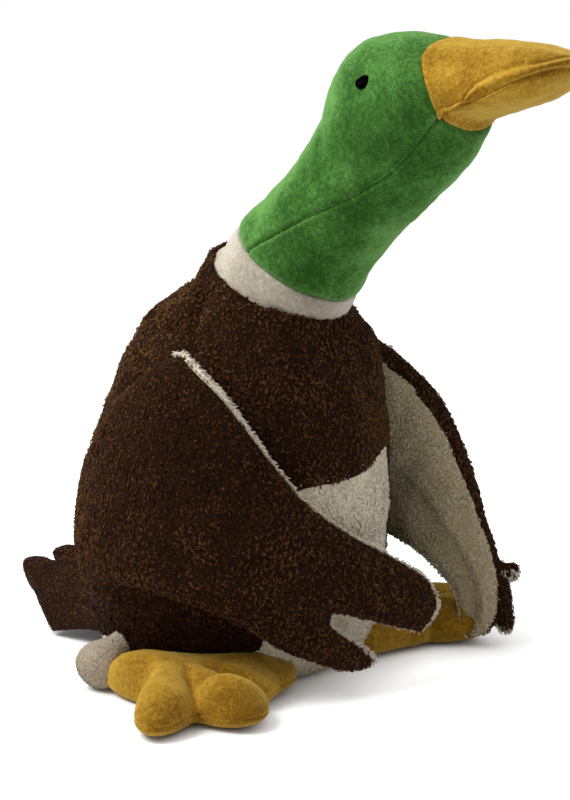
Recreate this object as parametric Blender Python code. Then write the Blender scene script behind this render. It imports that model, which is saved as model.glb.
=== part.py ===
# Plush duck: a sitting, stuffed soft toy with a brown pile coat, a cream belly, a green
# velour neck and head, a yellow bill, two padded wings, a tail and two webbed feet.
#
# Frame: +Z up, the duck faces -Y, its right side is -X, and the origin is the middle of
# the flat base that it sits on. Every skin is a sewn fabric panel with its own thickness,
# and every stuffing is a separate body inside its skins.

import math

import bmesh
import bpy
import numpy as np
from mathutils import Matrix, Vector

MM = 0.001

# Fabric and clearances
seam_gap = 0.3 * MM          # between two panels
bill_seam_gap = 0.45 * MM    # the same round the bill's base, measured along the head
seat_gap = 0.6 * MM          # between a ball and the seat that it turns in
stuffing_gap = 1.4 * MM      # between a stuffing and the skins round it
head_stuffing_gap = 2.2 * MM
wadding_gap = 1.1 * MM       # the same in the flat pads of the wings and the tail
torso_stuffing_gap = 4.2 * MM
foot_torso_gap = 1.2 * MM    # between a foot and the torso that presses into it
pile_skin = 2.6 * MM         # brown and cream pile fabric
velour_skin = 1.8 * MM       # green, yellow and ring fabric
floor_flat = 0.5 * MM        # depth by which a foot is pressed flat
crisp_edge_degrees = 50.0    # an edge that turns by more than this stays sharp
pivot_size = 20.0 * MM       # of the empties that mark the joints

# Torso
torso_height = 197.0 * MM
torso_half_width = 82.0 * MM
torso_half_depth = 81.0 * MM
side_seam_degrees = 78.0     # seam between chest and back panels, from the front
bib_height = 103.0 * MM       # lower edge of the chest panel in front
hem_height = 17.0 * MM       # lower edge of the coat at the sides and the back
bib_half_degrees = 52.0      # how far round the bib's raised edge goes
bib_slump = 7.0 * MM         # how much higher that edge is on the duck's left
bib_power = 6                # the higher, the squarer the bib's lower corners

# Neck and ring
neck_lean_degrees = 35.0
neck_seat_radius = 40.0 * MM
neck_rim_share = 0.973       # of the seat's radius, at the coat's upper edge round the neck
neck_rim_lean_degrees = 23.6
neck_rim_forward = 29.2 * MM
neck_seat_drop = 7.3 * MM    # of the neck's pivot, below the middle of that edge
ring_radius = 35.0 * MM
ring_top = 30.0 * MM         # from the pivot to the upper edge of the ring
ring_tuck_degrees = 98.0     # lower edge of the ring, tucked under the coat
ring_neck_degrees = 61.0     # where the ball under the ring turns into the neck
neck_foot_degrees = 176.0    # rim of the small flat under that ball

# Head and bill
head_reach = 163.0 * MM      # from the ring to the bill's tip, forwards
head_rise = 97.0 * MM       # from the ring to the bill's tip, upwards
head_half_width = 35.5 * MM
eye_radius = 4.6 * MM
eye_thickness = 0.9 * MM
eye_edge = 0.8 * MM
eye_stand = 0.35 * MM        # of the thread above the velour
eye_drop_share = 0.35
eye_drop_power = 4           # the higher, the sharper the drop's point
eye_point_turn = 0.4
eye_turn_degrees = 109.0     # from the front
eye_along_share = 0.400
eye_sides = 10
eye_ring_shares = (1.0, 0.72, 0.32)

stuffing_start = 0.012       # places along the head where its stuffing starts and ends
stuffing_end = 0.87

# Wings
wing_pivot_stand = 8.0 * MM  # of the hinge, outwards from the wing's sewn root
wing_pivot_back = 7.0 * MM   # of the hinge, backwards from the root's upper end
wing_thickness = 12.0 * MM
sheet_skin = 2.0 * MM        # pile fabric of the wings and the tail
root_inset_share = 0.3       # of a grid cell, from a pad's open root to its wadding
notch_across = 0.5           # where across the wing its two fingers part
notch_share = 0.74           # how far along the wing the notch between them reaches
finger_share = 0.90          # how far the trailing finger reaches
finger_power = 3             # the higher, the blunter the fingers
pad_side_power = 3           # the same of a pad's fullness from its sides to its middle
pad_tip_power = 6            # and from its root to its tip

# Tail
tail_length = 80.0 * MM
tail_half_width = 34.0 * MM
tail_thickness = 13.0 * MM
tail_root_height = 16.0 * MM
tail_root_top = 21.5 * MM    # height where the tail meets the coat
tail_rise = 14.0 * MM
tail_rise_power = 1.5
tail_notch_share = 0.88
tail_taper_share = 0.15
tail_feathers = 3
tail_droop = 3.0 * MM
tail_stand = 0.1 * MM

# Legs and feet
hip_inset = 12.0 * MM        # of the hip, from the torso's widest side
hip_back = 14.0 * MM
hip_height = 24.0 * MM
hip_seat_radius = 18.0 * MM
ankle_reach = 19.0 * MM      # of the ankle, outwards from the hip
ankle_back = 16.0 * MM
ankle_height = 17.5 * MM
ankle_radius = 16.0 * MM
leg_neck_radius = 12.5 * MM
hip_opening_degrees = 140.0  # rim of the skin's opening inside the torso, from the leg's way
hip_core_degrees = 168.0     # the same of the stuffing's end
hip_neck_degrees = 50.0      # where the hip's ball turns into the leg's neck
ankle_neck_degrees = 96.0    # where that neck turns into the round ankle
ankle_end_degrees = 12.0
foot_reach_out = 18.0 * MM   # of the foot's middle, outwards from the hip
foot_forward = 34.0 * MM
foot_radius = 52.0 * MM
foot_thickness = 27.0 * MM
foot_seam_height = 8.0 * MM
upper_roundness = 0.62       # power of the foot's section: small is flat, 1 is round
sole_roundness = 0.35
foot_top_level = 0.9         # of a quarter turn, where the section ends in a flat
toe_crease_share = 0.30
toe_crease_width_degrees = 9.0

# Each rib of a form is an oval, given by its foremost and its rearmost point, as shares
# (forwards, height, forwards, height), then its half width, and where its widest line is
# on the way from the foremost to the rearmost point
torso_shares = (
    (0.71, 0.000, -0.73, 0.000, 0.740, 0.50),
    (0.87, 0.062, -0.87, 0.062, 0.880, 0.50),
    (0.97, 0.163, -0.95, 0.163, 0.970, 0.50),
    (1.00, 0.300, -0.98, 0.309, 1.000, 0.50),
    (1.00, 0.425, -0.96, 0.488, 1.000, 0.50),
    (1.00, 0.527, -0.86, 0.671, 0.960, 0.50),
    (1.00, 0.635, -0.71, 0.824, 0.900, 0.50),
    (0.98, 0.744, -0.52, 0.938, 0.810, 0.50),
    (0.89, 0.841, -0.27, 1.021, 0.660, 0.50),
)
head_shares = (
    (0.255, -0.010, -0.065, 0.370, 0.95, 0.50),
    (0.355, 0.175, 0.040, 0.565, 0.91, 0.50),
    (0.455, 0.335, 0.123, 0.765, 0.91, 0.50),
    (0.550, 0.487, 0.178, 0.985, 0.98, 0.50),
    (0.630, 0.631, 0.274, 1.146, 1.00, 0.46),
    (0.667, 0.693, 0.409, 1.188, 0.96, 0.38),
    (0.704, 0.724, 0.538, 1.157, 0.87, 0.22),
    (0.771, 0.765, 0.679, 1.136, 0.84, 0.18),
    (0.863, 0.837, 0.808, 1.105, 0.82, 0.29),
    (0.937, 0.909, 0.918, 1.064, 0.68, 0.45),
    (0.983, 0.966, 0.980, 1.028, 0.39, 0.50),
    (0.998, 0.987, 0.998, 1.007, 0.11, 0.50),
)
# Soft swellings and dents of the stuffed body: degrees from the front, place along the
# body, half their width in degrees, half their length along the body, and how far they
# swell as a share of the rib's own radius
torso_fold_shares = (
    (-136, 0.84, 22, 0.065, 0.060), (136, 0.83, 22, 0.065, 0.045), (180, 0.70, 34, 0.060, -0.060),
    (-158, 0.52, 26, 0.080, 0.035), (160, 0.36, 30, 0.070, -0.035), (-150, 0.30, 24, 0.060, -0.025),
    (14, 0.80, 13, 0.110, -0.045), (-16, 0.70, 18, 0.090, 0.025), (14, 0.37, 30, 0.045, -0.035),
)
fold_fade_power = 8          # the higher, the closer to both ends of the body the folds reach
# The seam round the bill's base: degrees from the front, and place along the head
bill_seam_shares = (
    (0, 0.490), (30, 0.481), (52, 0.474), (70, 0.508), (95, 0.532), (127, 0.550),
    (150, 0.567), (180, 0.580),
)
# The throat panel's edge, from the ring to the mouth's corner, then the seam between the
# bill's two halves, from there to its tip: place along the head, and degrees from the front
gusset_shares = (
    (0.0, 106), (0.09, 88), (0.16, 71), (0.24, 55), (0.32, 48), (0.40, 47), (0.474, 52),
)
mouth_shares = ((0.474, 52), (0.53, 77), (0.59, 91), (0.65, 99), (0.72, 103), (0.86, 102), (1.0, 100))

# Each row of a wing's edge: degrees from the front, height as a share of the torso's
# height, and stand-off from the torso as a share of the wing's thickness
near_leading_shares = (
    (92, 0.865, 0.43), (67, 0.783, 0.60), (47, 0.633, 0.65), (31, 0.505, 0.75),
    (0, 0.345, 1.3), (-17, 0.215, 3.0),
)
near_trailing_shares = (
    (92, 0.285, 0.63), (76, 0.278, 0.80), (58, 0.236, 0.90), (38, 0.140, 1.15),
    (15, 0.075, 1.5), (3, 0.055, 1.9),
)
far_leading_shares = (
    (92, 0.853, 0.40), (66, 0.745, 1.4), (55, 0.620, 2.9), (49, 0.420, 4.3),
    (47, 0.210, 5.6), (44, 0.045, 6.8),
)
far_trailing_shares = (
    (92, 0.320, 0.60), (78, 0.300, 0.90), (64, 0.270, 1.6), (54, 0.200, 2.6),
    (48, 0.120, 4.2), (42, 0.045, 5.5),
)

# A foot's outline: degrees from its middle toe, outwards, and reach
foot_shares = (
    (-180, 1.02), (-140, 0.76), (-100, 0.80), (-67, 1.24), (-42, 0.94), (-18, 0.88),
    (18, 1.15), (40, 0.86), (68, 1.24), (92, 0.82), (115, 0.58), (145, 0.70), (180, 1.02),
)
toe_crease_degrees = (-14, 43)

# Grid counts
chest_columns = 12
back_columns = 14
torso_rows = 8
belly_rows = 5
ring_sides = 22
head_columns = 8
throat_columns = 7
head_rows = 8
bill_rows = 6
stuffing_rows = 13
stuffing_sides = 20
wing_rows = 9
wing_columns = 10
tail_rows = 5
tail_columns = 8
foot_rings_count = 4
leg_sides = 12
foot_sides = 26
seat_arc_points = 4          # on the arc of a ball that sits in a seat
foot_arc_points = 6          # on the longer arc under the neck's ball
hip_arc_points = 3
halvings = 30                # of the search for a height on a form

brown = (0.030, 0.012, 0.008)
cream = (0.62, 0.55, 0.42)
green = (0.060, 0.170, 0.040)
yellow = (0.42, 0.23, 0.030)
black = (0.006, 0.005, 0.005)
wadding = (0.80, 0.80, 0.78)
velour = (0.60, 0.55, 0.47)


def clear_scene():
    for old in list(bpy.data.objects):
        bpy.data.objects.remove(old, do_unlink=True)


def fabric(name, colour, roughness=0.95):
    material = bpy.data.materials.new(name)
    material.use_nodes = True
    shader = material.node_tree.nodes["Principled BSDF"]
    shader.inputs["Base Color"].default_value = (*colour, 1.0)
    shader.inputs["Roughness"].default_value = roughness
    shader.inputs["Metallic"].default_value = 0.0
    material.diffuse_color = (*colour, 1.0)
    return material


def place(name, mesh, colour):
    item = bpy.data.objects.new(name, mesh)
    bpy.context.scene.collection.objects.link(item)
    mesh.materials.append(fabric(name, colour))
    return item


def pivot(name, at, parent=None):
    """An empty on a joint's axis, which carries what turns there."""
    item = bpy.data.objects.new(name, None)
    item.empty_display_size = pivot_size
    item.location = Vector(at) - (parent.matrix_world.translation if parent else Vector())
    item.parent = parent
    bpy.context.scene.collection.objects.link(item)
    bpy.context.view_layer.update()
    return item


def carry(parent, items):
    for item in items:
        item.parent = parent
        item.matrix_parent_inverse = parent.matrix_world.inverted()


def guide(item):
    item.hide_render = True
    item.display_type = "WIRE"


def cut(item, cutter):
    step = item.modifiers.new("cut by " + cutter.name, "BOOLEAN")
    step.operation = "DIFFERENCE"
    step.solver = "EXACT"
    step.object = cutter


def smooth_curve(rows, keys=None):
    """A smooth curve through rows of values, as a function of a share from 0 to 1."""
    rows = np.array(rows, float)
    keys = np.linspace(0.0, 1.0, len(rows)) if keys is None else np.array(keys, float)
    slopes = np.gradient(rows, keys, axis=0)

    def at(share):
        share = np.clip(np.asarray(share, float), keys[0], keys[-1])
        low = np.clip(np.searchsorted(keys, share, side="right") - 1, 0, len(keys) - 2)
        span = keys[low + 1] - keys[low]
        part = ((share - keys[low]) / span)
        span, part = span[..., None], part[..., None]
        square, cube = part ** 2, part ** 3
        return ((2 * cube - 3 * square + 1) * rows[low]
                + (cube - 2 * square + part) * span * slopes[low]
                + (3 * square - 2 * cube) * rows[low + 1]
                + (cube - square) * span * slopes[low + 1])
    return at


def unit(vectors):
    return vectors / np.linalg.norm(vectors, axis=-1, keepdims=True)


class Form:
    """A stuffed form: oval ribs, each square to the X = 0 plane, along its length.

    A point is given by turn, in radians from the front (positive to the duck's left), and
    by along, from 0 at the form's lower end to 1 at its upper or front end.
    """

    step = 1e-4
    least_core_share = 0.35

    def __init__(self, start, reach, rise, half_width, shares, first=(), last=(), folds=()):
        self.folds = folds
        rows = list(first)
        for front, front_height, back, back_height, wide, widest in shares:
            rows.append((start[0] - reach * front, start[1] + rise * front_height,
                         start[0] - reach * back, start[1] + rise * back_height,
                         half_width * wide, widest))
        self.rib = smooth_curve(rows + list(last))

    def swell(self, turn, along):
        """How much wider the folds make a rib at a turn, as a factor."""
        total = np.zeros(np.shape(turn))
        for degrees, place, half_degrees, half_length, share in self.folds:
            apart = (np.degrees(turn) - degrees + 180.0) % 360.0 - 180.0
            total = total + share * np.exp(-(apart / half_degrees) ** 2
                                           - ((along - place) / half_length) ** 2)
        return 1.0 + total * (1.0 - (2.0 * along - 1.0) ** fold_fade_power)

    def point(self, turn, along):
        turn, along = np.broadcast_arrays(np.asarray(turn, float), np.asarray(along, float))
        rib = self.rib(along)
        front, back, widest = rib[..., 0:2], rib[..., 2:4], rib[..., 5:6]
        middle = front + (back - front) * widest
        forwards = np.cos(turn)[..., None]
        swell = self.swell(turn, along)
        depth = np.where(forwards > 0.0, front - middle, middle - back) * forwards
        place_yz = middle + depth * swell[..., None]
        return np.stack([rib[..., 4] * np.sin(turn) * swell, place_yz[..., 0], place_yz[..., 1]],
                        axis=-1)

    def normal(self, turn, along):
        turn, along = np.broadcast_arrays(np.asarray(turn, float), np.asarray(along, float))
        low = np.clip(along - self.step, 0.0, 1.0)
        high = np.clip(along + self.step, 0.0, 1.0)
        up = self.point(turn, high) - self.point(turn, low)
        round_ = self.point(turn + self.step, along) - self.point(turn - self.step, along)
        return unit(np.cross(round_, up))

    def under(self, turn, along, depth):
        """The point at a depth below the surface."""
        return self.point(turn, along) - self.normal(turn, along) * depth

    def inside(self, turn, along, depth):
        """The point a depth further in, in the plane of the same rib."""
        rib = self.rib(np.broadcast_arrays(np.asarray(turn, float), np.asarray(along, float))[1])
        front, back, widest = rib[..., 0:2], rib[..., 2:4], rib[..., 5:6]
        middle = front + (back - front) * widest
        half = np.linalg.norm(front - back, axis=-1) / 2
        centre = np.concatenate([np.zeros_like(middle[..., :1]), middle], axis=-1)
        shrink = np.maximum(1.0 - depth / half, self.least_core_share)
        return centre + (self.point(turn, along) - centre) * shrink[..., None]

    def at_height(self, turn, height):
        """The surface point that lies at a height above the floor, by halving."""
        turn, height = np.broadcast_arrays(np.asarray(turn, float), np.asarray(height, float))
        low, high = np.zeros(turn.shape), np.ones(turn.shape)
        for _ in range(halvings):
            half = (low + high) / 2
            below = self.point(turn, half)[..., 2] < height
            low, high = np.where(below, half, low), np.where(below, high, half)
        return self.point(turn, low), low


def round_rib(centre, radius, lean):
    """A rib that is a circle about a point of the X = 0 plane, leaning forwards."""
    forwards, down = radius * math.cos(lean), radius * math.sin(lean)
    return (centre[1] - forwards, centre[2] - down, centre[1] + forwards, centre[2] + down,
            radius, 0.5)


def grid_mesh(name, outer, inner, closed=False, floor_cap=False):
    """A fabric panel: an outer and an inner grid of points, joined round their edges.

    A closed panel goes all the way round. With floor_cap its first row is closed by a flat
    bottom, outside and inside.
    """
    mesh = bpy.data.meshes.new(name)
    bm = bmesh.new()
    rows, columns = outer.shape[:2]
    out = [[bm.verts.new(outer[i, j]) for j in range(columns)] for i in range(rows)]
    ins = [[bm.verts.new(inner[i, j]) for j in range(columns)] for i in range(rows)]
    last = columns if closed else columns - 1
    for i in range(rows - 1):
        for j in range(last):
            k = (j + 1) % columns
            bm.faces.new((out[i][j], out[i][k], out[i + 1][k], out[i + 1][j]))
            bm.faces.new((ins[i][j], ins[i + 1][j], ins[i + 1][k], ins[i][k]))
    for j in range(last):
        k = (j + 1) % columns
        bm.faces.new((out[-1][j], out[-1][k], ins[-1][k], ins[-1][j]))
        if not floor_cap:
            bm.faces.new((out[0][j], ins[0][j], ins[0][k], out[0][k]))
    if floor_cap:
        bm.faces.new(out[0])
        bm.faces.new(ins[0])
    if not closed:
        for i in range(rows - 1):
            bm.faces.new((out[i][0], out[i + 1][0], ins[i + 1][0], ins[i][0]))
            bm.faces.new((out[i][-1], ins[i][-1], ins[i + 1][-1], out[i + 1][-1]))
    finish_mesh(bm, mesh)
    return mesh


def finish_mesh(bm, mesh):
    """Split the faces all the same way, so that surfaces side by side stay parallel."""
    bmesh.ops.triangulate(bm, faces=bm.faces, quad_method="FIXED")
    bmesh.ops.recalc_face_normals(bm, faces=bm.faces)
    bm.to_mesh(mesh)
    bm.free()
    mesh.shade_smooth()
    mesh.set_sharp_from_angle(angle=math.radians(crisp_edge_degrees))


def ring_mesh(name, rings):
    """A solid form: rings of points, with its first and last ring closed by a flat face."""
    mesh = bpy.data.meshes.new(name)
    bm = bmesh.new()
    loops = [[bm.verts.new(point) for point in ring] for ring in rings]
    sides = len(loops[0])
    for low, high in zip(loops, loops[1:]):
        for j in range(sides):
            k = (j + 1) % sides
            bm.faces.new((low[j], low[k], high[k], high[j]))
    bm.faces.new(loops[0])
    bm.faces.new(loops[-1])
    finish_mesh(bm, mesh)
    return mesh


def turned_mesh(name, profile, at, sides, close=False):
    """Turn a profile of (radius, height) about the neck's axis through a point."""
    turns = np.arange(sides) * 2 * math.pi / sides
    rings = []
    for radius, height in profile:
        ring = (at + neck_way * height
                + radius * (np.outer(np.sin(turns), side_way) + np.outer(np.cos(turns), front_way)))
        rings.append(ring)
    mesh = bpy.data.meshes.new(name)
    bm = bmesh.new()
    loops = [[bm.verts.new(point) for point in ring] for ring in rings]
    pairs = list(zip(loops, loops[1:])) + ([(loops[-1], loops[0])] if close else [])
    for low, high in pairs:
        for j in range(sides):
            k = (j + 1) % sides
            bm.faces.new((low[j], low[k], high[k], high[j]))
    if not close:
        bm.faces.new(loops[0])
        bm.faces.new(loops[-1])
    finish_mesh(bm, mesh)
    return mesh


def ball(name, at, radius, segments=28, rings=18):
    mesh = bpy.data.meshes.new(name)
    bm = bmesh.new()
    bmesh.ops.create_uvsphere(bm, u_segments=segments, v_segments=rings, radius=radius,
                              matrix=Matrix.Translation(Vector(at)))
    bm.to_mesh(mesh)
    bm.free()
    mesh.shade_smooth()
    return mesh


# Named directions and points
neck_lean = math.radians(neck_lean_degrees)
side_way = np.array([1.0, 0.0, 0.0])
neck_way = np.array([0.0, -math.sin(neck_lean), math.cos(neck_lean)])
front_way = np.array([0.0, -math.cos(neck_lean), -math.sin(neck_lean)])
rim_centre = np.array([0.0, -neck_rim_forward, torso_height])
rim_radius = neck_seat_radius * neck_rim_share
rim_rib = round_rib(rim_centre, rim_radius, math.radians(neck_rim_lean_degrees))
torso = Form((0.0, 0.0), torso_half_depth, torso_height, torso_half_width, torso_shares,
             last=(rim_rib,), folds=torso_fold_shares)
neck_pivot = rim_centre - neck_way * neck_seat_drop
ring_centre = neck_pivot + neck_way * ring_top
head_start = ring_centre + neck_way * seam_gap
hip_out = torso_half_width - hip_inset
hip_point = np.array([hip_out, hip_back, hip_height])
ankle_point = np.array([hip_out + ankle_reach, ankle_back, ankle_height])
foot_out = hip_out + foot_reach_out

ring_rib = round_rib(head_start, ring_radius, neck_lean)
head = Form((head_start[1], head_start[2]), head_reach, head_rise, head_half_width,
            head_shares, first=(ring_rib,))
head_length = math.hypot(head_reach, head_rise)

tail_root, _ = torso.at_height(math.pi, tail_root_top)
tail_pivot = tail_root + np.array([0.0, tail_stand, 0.0])


# Torso

def coat_edge(turn):
    """Height of the lower edge of the brown coat: high in front, low at the hem."""
    share = np.clip(np.abs(turn) / math.radians(bib_half_degrees), 0, 1)
    rise = bib_height + bib_slump * np.sin(turn) - hem_height
    return hem_height + rise * (1.0 - share ** bib_power)


def torso_turns():
    side = math.radians(side_seam_degrees)
    chest = np.linspace(-side, side, chest_columns + 1)
    back = np.linspace(side, 2 * math.pi - side, back_columns + 1)
    return chest, back


def coat_panel(name, turns):
    """A panel of the coat, from its lower edge up to the neck's seat."""
    side_shift = seam_gap / 2 / torso_half_width
    turns = turns.copy()
    turns[0] += side_shift
    turns[-1] -= side_shift
    wrapped = (turns + math.pi) % (2 * math.pi) - math.pi
    _, low = torso.at_height(turns, coat_edge(wrapped) + seam_gap / 2)
    shares = np.linspace(0.0, 1.0, torso_rows + 1)[:, None]
    along = low + (1.0 - low) * shares
    turn = np.broadcast_to(turns, along.shape)
    mesh = grid_mesh(name, torso.point(turn, along), torso.under(turn, along, pile_skin))
    return place(name, mesh, brown)


def build_torso():
    chest, back = torso_turns()
    chest_panel = coat_panel("chest_panel", chest)
    back_panel = coat_panel("back_panel", back)
    turns = np.concatenate([chest[:-1], back[:-1]])
    wrapped = (turns + math.pi) % (2 * math.pi) - math.pi
    _, high = torso.at_height(turns, coat_edge(wrapped) - seam_gap / 2)
    shares = np.linspace(0.0, 1.0, belly_rows + 1)[:, None]
    along = high * shares
    turn = np.broadcast_to(turns, along.shape)
    outer = torso.point(turn, along)
    inner = torso.under(turn, along, pile_skin)
    inner[0] = outer[0] * (1.0 - pile_skin / torso_half_width) + np.array([0, 0, pile_skin])
    mesh = grid_mesh("belly_panel", outer, inner, closed=True, floor_cap=True)
    belly_panel = place("belly_panel", mesh, cream)

    depth = pile_skin + torso_stuffing_gap
    rows = np.linspace(0.0, 1.0, torso_rows + 2)[:, None]
    round_turn = np.broadcast_to(turns[::2], (len(rows), len(turns[::2])))
    rings = torso.under(round_turn, np.broadcast_to(rows, round_turn.shape), depth)
    rings[0] = outer[0, ::2] * (1.0 - depth / torso_half_width) + np.array([0, 0, depth])
    stuffing = place("torso_stuffing", ring_mesh("torso_stuffing", rings), wadding)

    neck_seat = place("neck_seat_cutter", ball("neck_seat_cutter", neck_pivot,
                                               neck_seat_radius), wadding)
    guide(neck_seat)
    for item in (chest_panel, back_panel, stuffing):
        cut(item, neck_seat)
    for side_name, side in (("left", 1.0), ("right", -1.0)):
        name = f"hip_{side_name}_cutter"
        hip_seat = place(name, ball(name, hip_point * (side, 1.0, 1.0), hip_seat_radius), wadding)
        guide(hip_seat)
        for item in (back_panel, belly_panel, stuffing):
            cut(item, hip_seat)
    coat_shares = np.linspace(0.0, 1.0, torso_rows + 1)[1:, None]
    along = np.concatenate([along, high + (1.0 - high) * coat_shares])
    turn = np.broadcast_to(turns, along.shape)
    rings = torso.under(turn, along, -foot_torso_gap)
    below = rings[:1] * (1.0, 1.0, 0.0) - np.array([0.0, 0.0, foot_thickness])
    rings = np.concatenate([below, rings])
    clearance = place("torso_cutter", ring_mesh("torso_cutter", rings), wadding)
    guide(clearance)
    return clearance


# Neck and ring

def ball_arc(radius, start_degrees, end_degrees, count):
    """Points of a ball's outline, by degrees from the top of its axis."""
    angles = np.radians(np.linspace(start_degrees, end_degrees, count))
    return [(radius * math.sin(angle), radius * math.cos(angle)) for angle in angles]


def build_neck():
    outside = neck_seat_radius - seat_gap
    inside = outside - velour_skin
    core = inside - stuffing_gap
    profile = (ball_arc(outside, ring_tuck_degrees, ring_neck_degrees, seat_arc_points)
               + [(ring_radius, ring_top), (ring_radius - velour_skin, ring_top)]
               + ball_arc(inside, ring_neck_degrees, ring_tuck_degrees, seat_arc_points))
    mesh = turned_mesh("neck_ring", profile, neck_pivot, ring_sides, close=True)
    ring = place("neck_ring", mesh, velour)

    tuck_degrees = ring_tuck_degrees + math.degrees(stuffing_gap / outside)
    profile = (ball_arc(outside, neck_foot_degrees, tuck_degrees, foot_arc_points)
               + ball_arc(core, tuck_degrees, ring_neck_degrees, seat_arc_points)
               + [(ring_radius - velour_skin - stuffing_gap, ring_top)])
    mesh = turned_mesh("neck_stuffing", profile, neck_pivot, ring_sides)
    stuffing = place("neck_stuffing", mesh, wadding)
    return ring, stuffing


# Head and bill

bill_seam = smooth_curve([(share,) for _, share in bill_seam_shares],
                         [degrees / 180.0 for degrees, _ in bill_seam_shares])


def bill_base(turn):
    """Place along the head of the seam round the bill's base."""
    return bill_seam(np.abs(turn) / math.pi)[..., 0]


gusset_curve = smooth_curve([(degrees,) for _, degrees in gusset_shares],
                            [along for along, _ in gusset_shares])
mouth_curve = smooth_curve([(degrees,) for _, degrees in mouth_shares],
                           [along for along, _ in mouth_shares])
mouth_along = gusset_shares[-1][0]


def gusset_edge(along):
    """Turn of the seam between the throat panel and the side panels."""
    return np.radians(gusset_curve(along)[..., 0])


def mouth_edge(along):
    """Turn of the seam between the bill's upper and lower half."""
    return np.radians(mouth_curve(along)[..., 0])


def head_panel(name, colour, first, last, low, high, rows, columns, skin):
    """A panel of the head between two turns and two places along it.

    Each column runs from low to high. first and last give the turn of the panel's side
    seams at a place along the head, and the other columns share out the turns between
    them, so that panels on both sides of the bill's base have their corners together.
    """
    columns_share = np.linspace(0.0, 1.0, columns + 1)
    rows_share = np.linspace(0.0, 1.0, rows + 1)[:, None]
    end_turn = first(np.array(mouth_along)) * (1 - columns_share)
    end_turn = end_turn + last(np.array(mouth_along)) * columns_share
    bottom, top = low(end_turn), high(end_turn)
    along = bottom + (top - bottom) * rows_share
    half_gap = seam_gap / 2 / head.rib(along)[..., 4]
    start = first(along[:, :1]) + half_gap
    end = last(along[:, :1]) - half_gap
    turn = start + (end - start) * columns_share
    mesh = grid_mesh(name, head.point(turn, along), head.inside(turn, along, skin))
    return place(name, mesh, colour)


def mirrored(item, name, colour):
    """The same panel on the duck's other side."""
    mesh = item.data.copy()
    mesh.materials.clear()
    mesh.transform(Matrix.Scale(-1.0, 4, Vector((1.0, 0.0, 0.0))))
    mesh.flip_normals()
    return place(name, mesh, colour)


def mirror_cut(item):
    """The right-hand twin of a left-hand piece, cut by the twins of its cutters."""
    twin = mirrored(item, item.name.replace("left", "right"), item.active_material.diffuse_color[:3])
    for step in item.modifiers:
        cutter = step.object
        if "left" in cutter.name:
            name = cutter.name.replace("left", "right")
            found = bpy.data.objects.get(name)
            if found is None:
                found = mirrored(cutter, name, wadding)
                guide(found)
            cutter = found
        cut(twin, cutter)
    return twin


def build_head():
    gap = bill_seam_gap / 2 / head_length

    def ring_edge(turn):
        return np.zeros_like(turn)

    def green_end(turn):
        return bill_base(turn) - gap

    left = head_panel("head_left", green, gusset_edge, lambda along: along * 0 + math.pi,
                      ring_edge, green_end, head_rows, head_columns, velour_skin)
    right = mirrored(left, "head_right", green)
    throat = head_panel("throat_panel", green, lambda along: -gusset_edge(along), gusset_edge,
                        ring_edge, green_end, head_rows, throat_columns, velour_skin)

    along = (stuffing_start + (stuffing_end - stuffing_start)
             * np.linspace(0.0, 1.0, stuffing_rows)[:, None])
    turn = np.arange(stuffing_sides) * 2 * math.pi / stuffing_sides
    turn, along = np.broadcast_arrays(turn, along)
    rings = head.inside(turn, along, velour_skin + head_stuffing_gap)
    stuffing = place("head_stuffing", ring_mesh("head_stuffing", rings), wadding)
    return left, right, throat, stuffing


def build_bill():
    gap = bill_seam_gap / 2 / head_length

    def yellow_start(turn):
        return bill_base(turn) + gap

    def bill_tip(turn):
        return np.ones_like(turn)

    top = head_panel("bill_top", yellow, mouth_edge,
                     lambda along: 2 * math.pi - mouth_edge(along),
                     lambda turn: yellow_start((turn + math.pi) % (2 * math.pi) - math.pi),
                     bill_tip, bill_rows, 2 * head_columns, velour_skin)
    bottom = head_panel("bill_bottom", yellow, lambda along: -mouth_edge(along), mouth_edge,
                        yellow_start, bill_tip, bill_rows, throat_columns, velour_skin)
    return top, bottom


def build_eyes():
    """Two embroidered eyes: drops whose point turns towards the bill."""
    turn = math.radians(eye_turn_degrees)
    centre = head.point(turn, eye_along_share)
    up = unit(head.point(turn + head.step, eye_along_share) - centre)
    along = unit(head.point(turn, eye_along_share + head.step) - centre)
    out = head.normal(turn, eye_along_share)
    angles = np.arange(eye_sides) * 2 * math.pi / eye_sides
    drop = 1.0 + eye_drop_share * np.maximum(np.cos(angles - eye_point_turn), 0.0) ** eye_drop_power
    low, high = [], []
    for share in eye_ring_shares:
        flat = (np.outer(np.cos(angles), along) + np.outer(np.sin(angles), up))
        ring = centre + flat * (eye_radius * share * drop)[:, None]
        # the head falls away from the eye's middle as a ball of about its own size would
        fall = (eye_radius * share) ** 2 / (2 * head_half_width)
        rise = eye_thickness * (1.0 - share ** eye_drop_power)
        low.append(ring + out * (eye_stand - fall))
        high.append(ring + out * (eye_stand + eye_edge + rise - fall))
    rings = [low[1], low[0], high[0], high[1], high[2]]
    left = place("eye_left", ring_mesh("eye_left", rings), black)
    right = mirrored(left, "eye_right", black)
    return left, right


# Wings, tail: padded sheets with a seam round their edge

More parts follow.
